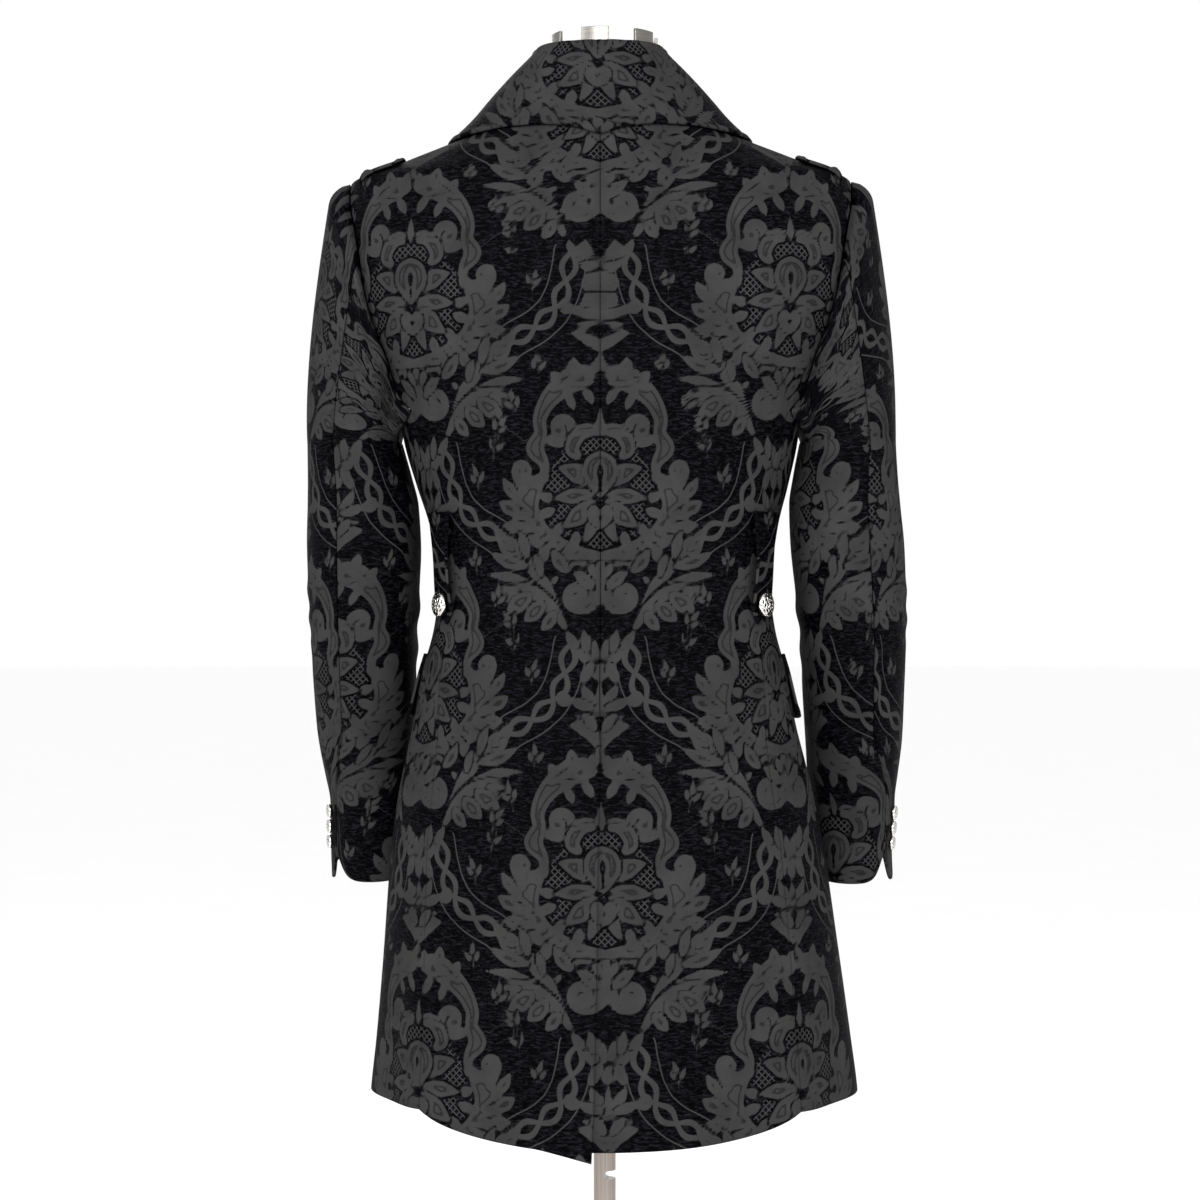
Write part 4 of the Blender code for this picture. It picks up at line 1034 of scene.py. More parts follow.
def front_panel(side):
    """One front, from the side front seam, armhole and shoulder to its edge and roll line."""

    def bottom(u):
        start = beside(side_front(hem(90)), hem(90), SEAM_GAP / 2)
        angle = start + (angle_at(-OVERLAP, HEM, front=True) - start) * u
        return angle, hem(angle)

    def top(u):
        station = COLLAR_SHOULDER + (1 - COLLAR_SHOULDER) * u
        turn = beside(90, NECK_SIDE, SEAM_GAP / 2) - seam_angle(COLLAR_SHOULDER)
        rise = NECK_SIDE - seam_height(COLLAR_SHOULDER) + 0.6
        return seam_angle(station) + turn * (1 - u), seam_height(station) - 0.6 + rise * (1 - u)

    def outer_edge(v):
        return panel_edge(v, side_front, FRONT_ARM_TURNS, SEAM_GAP / 2, True)

    def front_edge(v):
        height = float(np.interp(v, (0, 1, 3), (hem(180), BREAK + 6, top(1)[1])))
        return angle_at(roll_x(height), height, front=True), height

    v, share = panel_rows(3.8)
    u = even(240, 3.8)
    angle, height = patch(bottom, top, outer_edge, front_edge, v, u, share)
    x = body(angle, height)[..., 0]
    above = front_lift(x, height) if side > 0 else 0 * x
    above = above - 0.7 * np.exp(-((u[None] * 230 / 2.6) ** 2))
    lying(named("front", side), angle, height, side, above)


front_panel(1)
front_panel(-1)

# The sleeves
# Two-piece sleeves, set in with a rounded head. The seam at the back ends in a short vent at
# the cuff, whose corners part, and the arms hang slightly forward.

SLEEVE = (
    # height, inner_side, outer_side, centre_depth, half_depth
    (760, 184.0, 260.0, -84, 56.0),
    (785, 184.0, 259.0, -81, 56.0),
    (815, 183.5, 258.0, -75, 56.5),
    (849, 183.0, 258.0, -69, 57.0),
    (872, 182.5, 260.5, -62, 58.0),
    (906, 181.5, 265.0, -50, 59.5),
    (942, 180.5, 268.0, -37, 61.0),
    (980, 179.5, 270.5, -25, 63.0),
    (1030, 177.5, 273.5, -13, 66.0),
    (1080, 174.5, 274.0, -5, 70.0),
    (1115, 175.5, 272.5, -6, 73.0),
    (1140, 180.5, 271.5, -7, 75.0),
    (1170, 188.0, 271.0, -8, 76.0),
)
BICEPS = 1170
CUFF = 783
CUFF_NOTCH = 22
CUFF_CORNER = 6
CUFF_PITCH = 0.18
CUFF_TURN = 30
CAP_ROUND = 7.5
CAP_FULL = 14
SLEEVE_SEAM = 0.16
DEGREE_ROUND = 1.15
inner_side, outer_side, centre_depth, half_depth = (column(SLEEVE, i) for i in range(1, 5))
SLEEVE_CREASES = (
    # around, height, end_around, end_height, spread, deep
    (20, 1052, 96, 1034, 8, 1.3),
    (30, 1020, 110, 1010, 7, 1.0),
    (8, 985, 76, 992, 8, 1.1),
    (-150, 1040, -60, 1010, 9, 1.5),
    (-160, 1000, -80, 980, 8, 1.2),
    (150, 1060, 196, 1030, 8, 1.0),
    (24, 1120, 60, 1180, 9, 1.1),
    (-30, 1140, 14, 1176, 8, 1.2),
    (14, 930, 70, 912, 8, 0.9),
    (120, 905, 190, 925, 9, 1.0),
)


def armhole(around):
    """The coat's armhole edge. Nought is the back, 90 the shoulder and 180 the front."""
    height = ARM_MIDDLE + ARM_REACH * math.sin(math.radians(around))
    front = math.cos(math.radians(around)) < 0
    if height >= SEAM_TOP:
        edge = front_edge_x(height) if front else back_edge_x(height)
        return body(angle_at(edge, height, front), height)
    below = around if around < 90 else around - 360
    share = (ARM_CORNER - below) / (2 * (90 + ARM_CORNER))
    angle = side_back(SEAM_TOP) + (side_front(SEAM_TOP) - side_back(SEAM_TOP)) * share
    return body(angle, underarm(angle))


def sleeve_ring(around, height):
    """The sleeve's inner face below the armpit, by its own angle and a height."""
    turn = np.radians(around + CUFF_TURN * fade(-height, -925, -845))
    power = 2 / 2.2
    across = np.sign(np.sin(turn)) * np.abs(np.sin(turn)) ** power
    along = np.sign(np.cos(turn)) * np.abs(np.cos(turn)) ** power
    middle = (inner_side(height) + outer_side(height)) / 2
    half = (outer_side(height) - inner_side(height)) / 2
    depth = half_depth(height) * along
    pitch = CUFF_PITCH * fade(-height, -BICEPS, -CUFF)
    return np.stack([middle + half * across, centre_depth(height) + depth, height - depth * pitch], -1)


def cuff_height(around):
    """The cuff's edge, with the notch where the vent's corners part and the upper one's drop."""
    off = (around - BACK_SEAM + 180) % 360 - 180
    notch = np.exp(-((np.abs(off) / np.where(off > 0, 9, 14)) ** 1.6))
    corner = np.exp(-(((off - 24) / 14) ** 2))
    return CUFF + CUFF_NOTCH * notch - CUFF_CORNER * corner


def sleeve(around, along):
    """A grid inside the sleeve's wall. along is 0 at the armhole, 1 at the biceps, 2 at the cuff."""
    start = np.array([armhole(a) for a in around])[None]
    start = start + np.array([0.6, 0, 0])
    t = np.clip(along, 0, 1)[:, None, None]
    end = sleeve_ring(around, np.full(around.shape, float(BICEPS)))[None]
    rounded = np.clip(t / 0.07, 0, 1)
    bulge = np.sqrt(rounded * (2 - rounded)) * (1 - t**3)
    turn = np.radians(around)
    puff = CAP_ROUND * (1 + np.sin(turn))
    out = np.stack([np.maximum(np.sin(turn), 0) * puff, np.cos(turn) * puff, 0 * turn], -1)
    cap = start + (end - start) * t + out[None] * bulge
    cap[..., 0] += CAP_FULL * np.maximum(-np.sin(turn), 0)[None] * (t * (1 - t))[..., 0]
    down = BICEPS - (BICEPS - cuff_height(around))[None] * np.clip(along - 1, 0, 1)[:, None]
    low = sleeve_ring(np.broadcast_to(around, down.shape), down)
    return np.where((along <= 1)[:, None, None], cap, low)


def sleeve_out(around, along):
    """The direction that the sleeve faces, kept level with the seam at the armhole."""
    one = sleeve(around + 1, along) - sleeve(around - 1, along)
    two = sleeve(around, np.minimum(along + 0.01, 2)) - sleeve(around, np.maximum(along - 0.01, 0))
    across = np.cross(one, two)
    across[..., 0] *= fade(along, -0.001, 0.07)[:, None]
    return across / np.linalg.norm(across, axis=-1, keepdims=True)


def hung(points, side):
    """Points of the left sleeve, or mirrored for the right, with the arms' own sway."""
    moved = placed(points, side)
    moved[..., 0] -= (1.0 if side > 0 else 3.5) * fade(-points[..., 2], -1110, -980)
    moved[..., 0] += 3 * fade(-points[..., 2], -850, -790)
    return moved


def sleeve_panel(kind, side, first, last):
    """One sleeve panel between two seams, given by the sleeve's own angle."""
    around = np.linspace(first, last, 78 if last < 210 else 62)
    head, upper_arm = even(40, 2.2)[:-1] * 0.16, 0.16 + even(190, 3.0)[:-1] * 0.84
    along = np.concatenate([head, upper_arm, 1 + even(390, 3.0)])
    out = sleeve_out(around, along)
    outer = sleeve(around, along) + out * WALL
    height = outer[..., 2]
    wrapped = np.broadcast_to(np.where(around > 214, around - 360, around), height.shape)
    creases = np.array(SLEEVE_CREASES) * (DEGREE_ROUND, 1, DEGREE_ROUND, 1, 1, 1)
    lift = crease_lift(DEGREE_ROUND * wrapped, height, creases)
    lift = lift * fade(along, 0.5, 1.0)[:, None] * fade(along, 2.0, 1.8)[:, None]
    near = np.minimum(around - first, last - around) * 1.1  # mm from the nearer seam
    lift = lift - 0.7 * np.exp(-((near / 2.4) ** 2))[None] * fade(along, 0.0, 0.1)[:, None]
    face = hung(outer + out * lift[..., None], side)
    back = hung(outer + out * (lift - WALL)[..., None], side)
    steps = np.linalg.norm(np.diff(outer, axis=1), axis=-1)
    across = np.cumsum(np.concatenate([np.zeros((len(outer), 1)), steps], 1), 1)
    across = across - across[:, :1] + (first - BACK_SEAM) * 1.13
    up = np.where((along <= 1)[:, None], BICEPS + (1 - along[:, None]) * 205, height) - FIGURE_RISE
    name = named(kind, side)
    piece = shell(f"{name}_cloth", face, back, across + side * 38 + 70, up, coat_cloth)
    declare(piece, name)


for side in (1, -1):
    starts, ends = BACK_SEAM + SLEEVE_SEAM, FRONT_SEAM - SLEEVE_SEAM
    sleeve_panel("sleeve_upper", side, starts, ends)
    starts, ends = FRONT_SEAM + SLEEVE_SEAM, 360 + BACK_SEAM - SLEEVE_SEAM
    sleeve_panel("sleeve_under", side, starts, ends)

# The collar
# A wide turned-down collar in one length, folded over its own stand. Its edge is faced and
# pressed, so it is fuller there, and a row of stitches holds it 6 mm in.

FOLD_RADIUS = 3.4
COLLAR_FOOT = 2.3
FALL_BELLY = 14


def collar_section(station, side):
    """The middle of the collar's cloth at one station, from its seam to its edge."""
    seam = body(seam_angle(station), seam_height(station))
    out = body_out(seam_angle(station), seam_height(station))
    fold = np.array([fold_x(station), fold_y(station), fold_height(station)], float)
    edge = body(edge_angle(station), edge_height(station))
    edge = edge + body_out(edge_angle(station), edge_height(station)) * (WALL / 2 + 1.2)
    away = (edge - fold) * np.array([1, 1, 0])
    away = away / np.linalg.norm(away)
    up = np.array([0, 0, 1.0])
    foot = seam - out * (WALL / 2)
    foot = foot + (fold - seam) / np.linalg.norm(fold - seam) * COLLAR_FOOT
    stand_top = fold - away * FOLD_RADIUS - up * FOLD_RADIUS
    fall_top = fold + away * FOLD_RADIUS - up * FOLD_RADIUS
    points = [foot, foot * 0.5 + stand_top * 0.5 + away, stand_top]
    for turn in (135, 90, 45):
        swing = math.radians(turn)
        round_fold = (away * math.cos(swing) + up * math.sin(swing)) * FOLD_RADIUS
        points.append(fold - up * FOLD_RADIUS + round_fold)
    belly = np.cross(np.cross(away, edge - fall_top), edge - fall_top)
    belly = belly / np.linalg.norm(belly)
    belly = belly * (1 if belly[2] >= 0 else -1)
    points.append(fall_top)
    for share in (0.25, 0.5, 0.75):
        points.append(fall_top + (edge - fall_top) * share + belly * FALL_BELLY * share * (1 - share))
    points.append(edge)
    return np.array(points) * np.array([side, 1, 1])


def smooth_line(points, count):
    """A smooth line through rows of points, evenly spaced along its length."""
    line, _ = curve(points, 12 * len(points))
    run = np.concatenate([[0], np.cumsum(np.linalg.norm(np.diff(line, axis=0), axis=1))])
    at = np.linspace(0, run[-1], count)
    return np.stack([np.interp(at, run, line[:, i]) for i in range(3)], 1), at


def grid_out(grid):
    """The directions that a grid of points faces, by its neighbours."""
    across = np.cross(np.gradient(grid, axis=0), np.gradient(grid, axis=1))
    return across / np.linalg.norm(across, axis=-1, keepdims=True)


stations = np.linspace(-1, 1, 171)
sections = [smooth_line(collar_section(abs(s), 1 if s >= 0 else -1), 50) for s in stations]
collar_grid = sway(np.array([points for points, _ in sections]))
collar_up = np.array([at for _, at in sections])
collar_steps = np.linalg.norm(np.diff(collar_grid[:, -20], axis=0), axis=1)
collar_across = np.concatenate([[0], np.cumsum(collar_steps)])
collar_across = (collar_across - collar_across[-1] / 2)[:, None] + 0 * collar_up
from_edge = collar_up[:, -1:] - collar_up
fuller = 0.9 * np.exp(-(((from_edge - 3.0) / 2.2) ** 2))
fuller = fuller - 0.5 * np.exp(-((from_edge - 6.5) ** 2))
fuller = fuller * (from_edge < 20)
collar_out = grid_out(collar_grid)
collar_piece = shell(
    "collar_cloth",
    collar_grid + collar_out * (WALL / 2 + np.maximum(fuller, -0.4))[..., None],
    collar_grid - collar_out * (WALL / 2),
    collar_across,
    60 - collar_up,
    coat_cloth,
)
declare(collar_piece, "collar")

# The lapels
# The turned-back tops of the fronts, rolled over the front edge and notched against the
# collar's ends. They are two thicknesses of the cloth, pressed flat at the edge.

LAPEL = (
    # height, width
    (1165, 3),
    (1190, 24),
    (1230, 52),
    (1280, 76),
    (1330, 91),
    (1352, 95),
)
LAPEL_TIP = 1352
NOTCH_AT = 0.62


def lapel(side):
    """One lapel, rolled over the front's edge and lying on the front."""
    left = side > 0
    width = column(LAPEL, 1)
    top = seam_height(1) - 1.5
    foot = BREAK + 6 if left else BREAK + 16

    def roll(v):
        height = foot + (top - foot) * v
        return (roll_x(height) if left else max(roll_x(height), 4 - roll_x(height))), height

    def edge(v):
        height = foot + (LAPEL_TIP - foot) * v
        return max(roll_x(height) + width(height), roll(0)[0] + 3), height

    def bottom(u):
        start, end = roll(0), edge(0)
        return start[0] + (end[0] - start[0]) * u, start[1]

    def gorge(u):
        start, tip = np.array(roll(1)), np.array(edge(1))
        notch = start + np.array([44, -36])
        if u < NOTCH_AT:
            return tuple(start + (notch - start) * u / NOTCH_AT)
        return tuple(notch + (tip - notch) * (u - NOTCH_AT) / (1 - NOTCH_AT))

    v = even(260, 3.4)
    u = np.concatenate([np.linspace(0, 0.12, 12)[:-1], 0.12 + even(90, 3.4) * 0.88])
    x, height = patch(bottom, gorge, roll, edge, v, u)
    knots = (0, 0.01, 0.04, 0.12, 0.3, 0.5, NOTCH_AT, 0.8, 1)
    curl_x = np.interp(u, knots, (-2.6, -3.2, -2.2, 0, 0, 0, 0, 0, 0))
    curl_up = np.interp(u, knots, (-2.6, -0.2, 2.0, 1.6, 0.8, 0.4, 0.2, 0, 0))
    curled = np.ones(x.shape) if left else fade(height, 1262, 1290)
    reach = np.clip((x[:, -1:] - x[:, :1]) / 30, 0.15, 1)
    x = x + curl_x * curled * reach
    above = WALL + 0.8 + curl_up * curled * reach
    if left:
        above = above + front_lift(x, height)
    in_from_edge = (1 - u[None]) * (x[:, -1:] - x[:, :1])
    above = above + 0.5 * np.exp(-(((in_from_edge - 3.2) / 2.2) ** 2))
    angle = angle_at(x, height, front=True)
    drawn_at = (x - x[:, :1] + 30, height - FIGURE_RISE + 60)
    name, front = named("lapel", side), named("front", side)
    lying(name, angle, height, side, above, drawn_at=drawn_at)


lapel(1)
lapel(-1)

# The shoulder tabs
# Straps of the same cloth across each shoulder seam, sewn down at both ends. Their long edges
# are turned in and stand a little proud.

TAB_ACROSS = 200
TAB_HALF = 17
TAB_ENDS = (-42, 50)


def dome(x, y):
    """A point of the shoulder over a place seen from above."""
    x, y = np.broadcast_arrays(np.asarray(x, float), np.asarray(y, float))
    low, high = np.full(x.shape, 1300.0), np.full(x.shape, 1470.0)
    for _ in range(40):
        height = (low + high) / 2
        square = np.where(y >= 0, back_square(height), front_square(height))
        depth = np.where(y >= 0, back_depth(height), front_depth(height))
        inside = (np.abs(x) / half_width(height)) ** square + (np.abs(y) / depth) ** square < 1
        low, high = np.where(inside, height, low), np.where(inside, high, height)
    return np.stack([x, y, (low + high) / 2], -1)


def shoulder_tab(side):
    """The tab across the shoulder seam, with its two ends down the back and the front."""
    wide = np.linspace(-1, 1, 23)
    x, y = np.meshgrid(TAB_ACROSS + TAB_HALF * wide, np.linspace(*TAB_ENDS, 42))
    points = dome(x, y)
    out = facing(dome, x, y, 1.0)
    out = out * np.sign(out[..., 2:3])
    edge = 1.6 * np.exp(-(((1 - np.abs(wide)) * TAB_HALF - 2.2) ** 2) / 4.5) - 0.1
    end = 1.2 * np.exp(-((TAB_ENDS[1] - y - 2.2) ** 2) / 4.5)
    above = (1.0 + edge + end)[..., None]
    name = named("shoulder_tab", side)
    face, back = placed(points + out * (above + WALL), side), placed(points + out * above, side)
    piece = shell(f"{name}_cloth", face, back, y + 40, x - 120, coat_cloth)
    declare(piece, name)


shoulder_tab(1)
shoulder_tab(-1)

# The waist tabs and the pocket flaps
# Pointed straps hang on the side back seams, each held by a button at its point, and stand
# off the coat along their inner edge. The flaps cover the hip pockets and flare at the hem.

WAIST_TAB = (1008, 1108)
WAIST_BUTTON = 1026
TAB_SEAT = 1.1
TAB_SWELL = 1.4
BUTTON_SEAT = 0.8
POCKET_TOP = 982
POCKET_DEEP = 58
POCKET_WIDE = 150
POCKET_BACK = 84
WAIST_LINE = (
    # height, across
    (1000, 136.0),
    (1026, 141.0),
    (1066, 143.5),
    (1110, 147.0),
)


def tab_centre(height):
    return angle_at(column(WAIST_LINE, 1)(height), height)


def waist_tab(side):
    """The pointed strap that hangs on the side back seam."""
    low, high = WAIST_TAB
    v = even(110, 2.4)[:, None]
    u = np.linspace(-1, 1, 17)[None]
    height = low + (high - low) * v + 16 * (1 - fade(v, 0, 0.2)) * np.abs(u)
    angle = beside(tab_centre(height), height, u * 17.5 * (1 - 0.10 * (1 - v)))
    from_edge = (1 - np.abs(u)) * TAB_HALF
    edge = 0.7 * np.exp(-((from_edge - 2.4) ** 2) / 4.0)
    edge = edge - 0.35 * np.exp(-((from_edge - 5.4) ** 2) / 1.4)
    stands_off = (0.6 + 4.4 * np.sin(np.pi * v) ** 0.7) * (1 - fade(u, -1, -0.4)) ** 1.5
    above = WALL + TAB_SEAT + TAB_SWELL * np.sin(np.pi * v) + stands_off + edge
    above, angle = np.broadcast_arrays(above, angle)
    drawn_at = (u * TAB_HALF + 110 + 0 * angle, height - FIGURE_RISE + 35)
    name, back = named("waist_tab", side), named("back", side)
    lying(name, angle, height, side, above, drawn_at=drawn_at, creases=False)


def pocket_flap(side):
    """The flap of the hip pocket, from the side towards the front."""
    v, u = even(POCKET_DEEP, 3.0)[:, None], even(POCKET_WIDE, 3.0)[None]
    height = POCKET_TOP - POCKET_DEEP * (1 - v) - 6 * u
    angle = beside(POCKET_BACK, height, POCKET_WIDE * u)
    edge = 0.5 * np.exp(-((v * POCKET_DEEP - 3.0) ** 2) / 4.5)
    above = WALL + LYING_GAP + 3.2 * (1 - v) ** 1.5 + 0 * u + edge
    rounded = 7 * (np.abs(2 * u - 1) ** 8) * (1 - v) ** 2
    drawn_at = (POCKET_WIDE * u + 0 * height + 40, height - FIGURE_RISE)
    name, front = named("pocket_flap", side), named("front", side)
    height = height + rounded
    lying(name, angle, height, side, above, drawn_at=drawn_at, creases=False)


for side in (1, -1):
    waist_tab(side)
    pocket_flap(side)

# The buttons
# Domed silver shank buttons with pierced scroll work around a small boss, darkened in the
# hollows: 22 mm on the waist tabs and the front, 13 mm in a close row of three at the cuffs.


silver, tree, shader = fresh("button_silver", 1.0)
tarnish = noise(tree, node(tree, "ShaderNodeTexCoord").outputs["Object"], 900.0, 3.0)
dark = maths(tree, "ADD", field(tree, "hollow"), maths(tree, "MULTIPLY", tarnish, 0.3))
dark = soft_step(tree, dark, 0.45, 0.85)
colour = blend(tree, dark, (0.66, 0.64, 0.61, 1), (0.012, 0.011, 0.010, 1))
rough = maths(tree, "ADD", maths(tree, "MULTIPLY", dark, 0.45), 0.16)
finish_with(tree, shader, colour, tarnish, 0.12, 0.0001, rough)


def from_faces(name, points, faces, material, sharp_from=None):
    """A smooth piece from points in millimetres and faces, with edges past an angle kept sharp."""
    mesh = bpy.data.meshes.new(name)
    mesh.from_pydata([tuple(p) for p in np.array(points) * MM], [], faces)
    mesh.polygons.foreach_set("use_smooth", np.ones(len(faces), bool))
    if sharp_from:
        mesh.set_sharp_from_angle(angle=math.radians(sharp_from))
    return shown(name, mesh, material)


def lathe(name, profile, segments, material, rise=None, sharp_from=None):
    """A smooth turned piece from rows of radius and height, closed on its axis at both ends."""
    profile = np.array(profile, float)
    turn = 2 * np.pi * np.arange(segments) / segments
    radius, level = profile[1:-1, 0][:, None], profile[1:-1, 1][:, None]
    lift = 0 if rise is None else rise(radius, turn[None])
    ring = np.stack([radius * np.cos(turn), radius * np.sin(turn), level + lift + 0 * turn], -1)
    points = np.concatenate([ring.reshape(-1, 3), [(0, 0, profile[0, 1])], [(0, 0, profile[-1, 1])]])
    faces = []
    for start in range(0, (len(profile) - 3) * segments, segments):
        for j in range(segments):
            k = (j + 1) % segments
            faces.append((start + j, start + k, start + segments + k, start + segments + j))
    last = (len(profile) - 3) * segments
    for j in range(segments):
        k = (j + 1) % segments
        faces.append((k, j, len(points) - 2))
        faces.append((last + j, last + k, len(points) - 1))
    return from_faces(name, points, faces, material, sharp_from), ring


BUTTON_RIM = ((0.80, 0), (0.90, 0.03), (0.97, 0.10), (1.0, 0.16), (1.0, 0.21), (0.995, 0.25))
BUTTON_PIT = 0.055
COAT_BUTTON = 11
CUFF_BUTTON = 6.6
FRONT_HEIGHTS = (1128, 1028, 928)
CUFF_HEIGHTS = (816, 830, 844)
CUFF_LINE = BACK_SEAM + 17.0


def scroll_work(share, turn):
    """How hollow the button's face is, from nought on a scroll to one in a pit."""
    arms = np.cos(7 * turn + 9.5 * share) + 0.8 * np.cos(7 * turn - 15 * share + 1.1)
    rings = np.cos(2 * np.pi * share * 4.2)
    pits = fade(-(arms + 0.7 * rings), -0.15, 0.75)
    on_face = fade(share, 0.17, 0.24) * (1 - fade(share, 0.80, 0.86))
    on_rim = fade(share, 0.83, 0.87) * (1 - fade(share, 0.92, 0.95))
    return pits * on_face + 0.8 * fade(-np.cos(26 * turn), 0.1, 0.8) * on_rim


def button(name, radius, place, out):
    """One button, its flat back on the cloth."""
    share = np.linspace(0.985, 0.0, 34)
    dome_up = 0.26 + 0.38 * np.sqrt(np.clip(1 - (share / 1.02) ** 2, 0, 1))
    boss = 0.05 * np.exp(-((share / 0.10) ** 2))
    profile = [(0, 0), *BUTTON_RIM, *zip(share, dome_up + boss)]

    def pits(at, turn):
        on_top = np.arange(len(at))[:, None] >= len(BUTTON_RIM)
        return scroll_work(at / radius, turn) * on_top

    def rise(at, turn):
        return -BUTTON_PIT * radius * pits(at, turn)

    piece, ring = lathe(f"{name}_silver", np.array(profile) * radius, 84, silver, rise)
    hollow = pits(np.linalg.norm(ring[..., :2], axis=-1), np.arctan2(ring[..., 1], ring[..., 0]))
    mark(piece.data, "hollow", np.concatenate([hollow.ravel(), [0, 0]]))
    tilt = Vector(out).to_track_quat("Z", "Y").to_matrix().to_4x4()
    tilt.translation = Vector(place) * MM
    piece.data.transform(tilt)
    stands_for(piece, name)


def coat_button(name, angle, height, lift, side):
    """A large button on the coat."""
    out = body_out(angle, height)
    place = placed(body(angle, height) + out * lift, side)
    button(name, COAT_BUTTON, place, out * np.array([side, 1, 1]))


def cuff_face(around, along, side):
    """A point of the sleeve's outer face."""
    around, along = np.array([around]), np.array([along])
    return hung((sleeve(around, along) + sleeve_out(around, along) * WALL)[0, 0], side)


for number, height in enumerate(FRONT_HEIGHTS, 1):
    coat_button(f"front_button_{number}", 180, height, LIFT + BUTTON_SEAT, 1)
up_tab = (WAIST_BUTTON - WAIST_TAB[0]) / (WAIST_TAB[1] - WAIST_TAB[0])
tab_lift = WALL + TAB_SEAT + BUTTON_SEAT + TAB_SWELL * math.sin(math.pi * up_tab)
for side in (1, -1):
    name = named("waist_button", side)
    coat_button(name, tab_centre(WAIST_BUTTON), WAIST_BUTTON, tab_lift, side)
    for number, height in enumerate(CUFF_HEIGHTS, 1):
        along = 1 + (BICEPS - height) / (BICEPS - CUFF)
        over = cuff_face(CUFF_LINE + 4, along, side) - cuff_face(CUFF_LINE - 4, along, side)
        down = cuff_face(CUFF_LINE, along + 0.017, side) - cuff_face(CUFF_LINE, along - 0.017, side)
        out = np.cross(over, down) * side
        out = out / np.linalg.norm(out)
        place = cuff_face(CUFF_LINE, along, side) + out * BUTTON_SEAT
        button(f"{named('cuff_button', side)}_{number}", CUFF_BUTTON, place, out)

# The dress form
# A limbless body in pale linen over a hard shell, pieced from long panels, with a short neck.
# On top stands a steel ring that is cut into six square teeth.

FORM = (
    # height, half_width, back, front
    (872, 160, 118, 116),
    (880, 172, 130, 128),
    (920, 164, 123, 128),
    (960, 157, 113, 124),
    (1005, 147, 100, 121),
    (1061, 146, 97, 120),
    (1094, 151, 99, 121),
    (1132, 162, 102, 123),
    (1163, 171, 105, 125),
    (1210, 179, 110, 125),
    (1268, 199, 114.5, 123),
    (1316, 206, 114.5, 117),
    (1355, 208, 110.5, 107.5),
    (1380, 204, 104.5, 97.5),
    (1398, 193, 99.5, 86.5),
    (1410, 175, 95.5, 80.5),
    (1424, 146, 89.5, 72.6),
    (1440, 111, 81.5, 62.6),
    (1454, 82, 73, 54),
    (1464, 65, 66, 48),
    (1476, 61.5, 61, 46),
    (1488, 61, 60, 46),
)

THREAD_RUNS = ((3200, 3200, 260), (260, 260, 3200))
linen, tree, shader = fresh("form_linen", 0.0, 0.85)
object_at = node(tree, "ShaderNodeTexCoord").outputs["Object"]
strands = [noise(tree, stretch(tree, object_at, run), 1.0, 2.0) for run in THREAD_RUNS]
woven = maths(tree, "MULTIPLY", *strands)
light_threads = soft_step(tree, woven, 0.12, 0.36)
colour = blend(tree, light_threads, (0.40, 0.36, 0.30, 1), (0.60, 0.56, 0.49, 1))
finish_with(tree, shader, colour, woven, 0.5, 0.0004)

form_wide, form_back, form_front = (column(FORM, i) for i in range(1, 4))
levels = np.concatenate([872 + 8 * even(8, 1.5), 880 + 608 * even(608, 5)[1:]])
turn = 2 * np.pi * np.arange(112) / 112
height = levels[:, None] + 0 * turn
across, along = np.sin(turn)[None], np.cos(turn)[None]
middle = widest_at(height) * (1 - fade(height, 1380, 1410))
depth = np.where(along >= 0, form_back(height) - middle, form_front(height) + middle)
tuck = 1 - 0.004 * np.exp(-(((turn * 8 / np.pi + 0.5) % 2 - 1) / 0.05) ** 2)[None]
x = form_wide(height) * np.sign(across) * np.abs(across) ** 0.87 * tuck
y = middle + depth * np.sign(along) * np.abs(along) ** 0.87 * tuck
ring = drawn_in(np.stack([x, y, height], -1))
crown_at = np.array([4.0, 8.0, 1488.0])
neck_top = crown_at + (ring[-1:] - crown_at) * np.array([0.985, 0.985, 1])
ring = np.concatenate([ring, neck_top])
count, around = ring.shape[:2]
first = np.arange(count - 1)[:, None] * around + np.arange(around)[None]
second = np.arange(count - 1)[:, None] * around + (np.arange(around)[None] + 1) % around
faces = np.stack([second, first, first + around, second + around], -1).reshape(-1, 4)
points = np.concatenate([ring.reshape(-1, 3), [(0, 5.0, 872.0)], [crown_at]])
faces = [tuple(int(k) for k in face) for face in faces]
foot, crown = len(points) - 2, len(points) - 1
last = (count - 1) * around
for j in range(around):
    k = (j + 1) % around
    faces.append((j, k, foot))
    faces.append((last + k, last + j, crown))
form = from_faces("form_body", points, faces, linen, 50)
stands_for(form, "form_torso")


def brushed_steel(name, tone, along, wear):
    """Steel brushed in one direction: fine streaks and a few darker bands."""
    material, tree, shader = fresh(name, 1.0)
    at = node(tree, "ShaderNodeTexCoord").outputs["Object"]
    streaks = noise(tree, stretch(tree, at, along), 1.0, 4.0)
    cloudy = maths(tree, "MULTIPLY", noise(tree, at, 14.0, 3.0), wear)
    mixed = maths(tree, "ADD", maths(tree, "MULTIPLY", streaks, 0.6), cloudy)
    band = tuple(c * 0.62 for c in tone)
    colour = blend(tree, soft_step(tree, mixed, 0.30, 0.75), (*band, 1), (*tone, 1))
    rough = maths(tree, "ADD", maths(tree, "MULTIPLY", mixed, 0.22), 0.2)
    finish_with(tree, shader, colour, streaks, 0.2, 0.0001, rough)
    return material


pole_steel = brushed_steel("pole_steel", (0.33, 0.29, 0.26), (900, 900, 8), 0.4)
ring_steel = brushed_steel("ring_steel", (0.20, 0.19, 0.175), (60, 60, 1400), 0.5)
base_steel = brushed_steel("base_steel", (0.36, 0.34, 0.32), (240, 240, 240), 0.5)

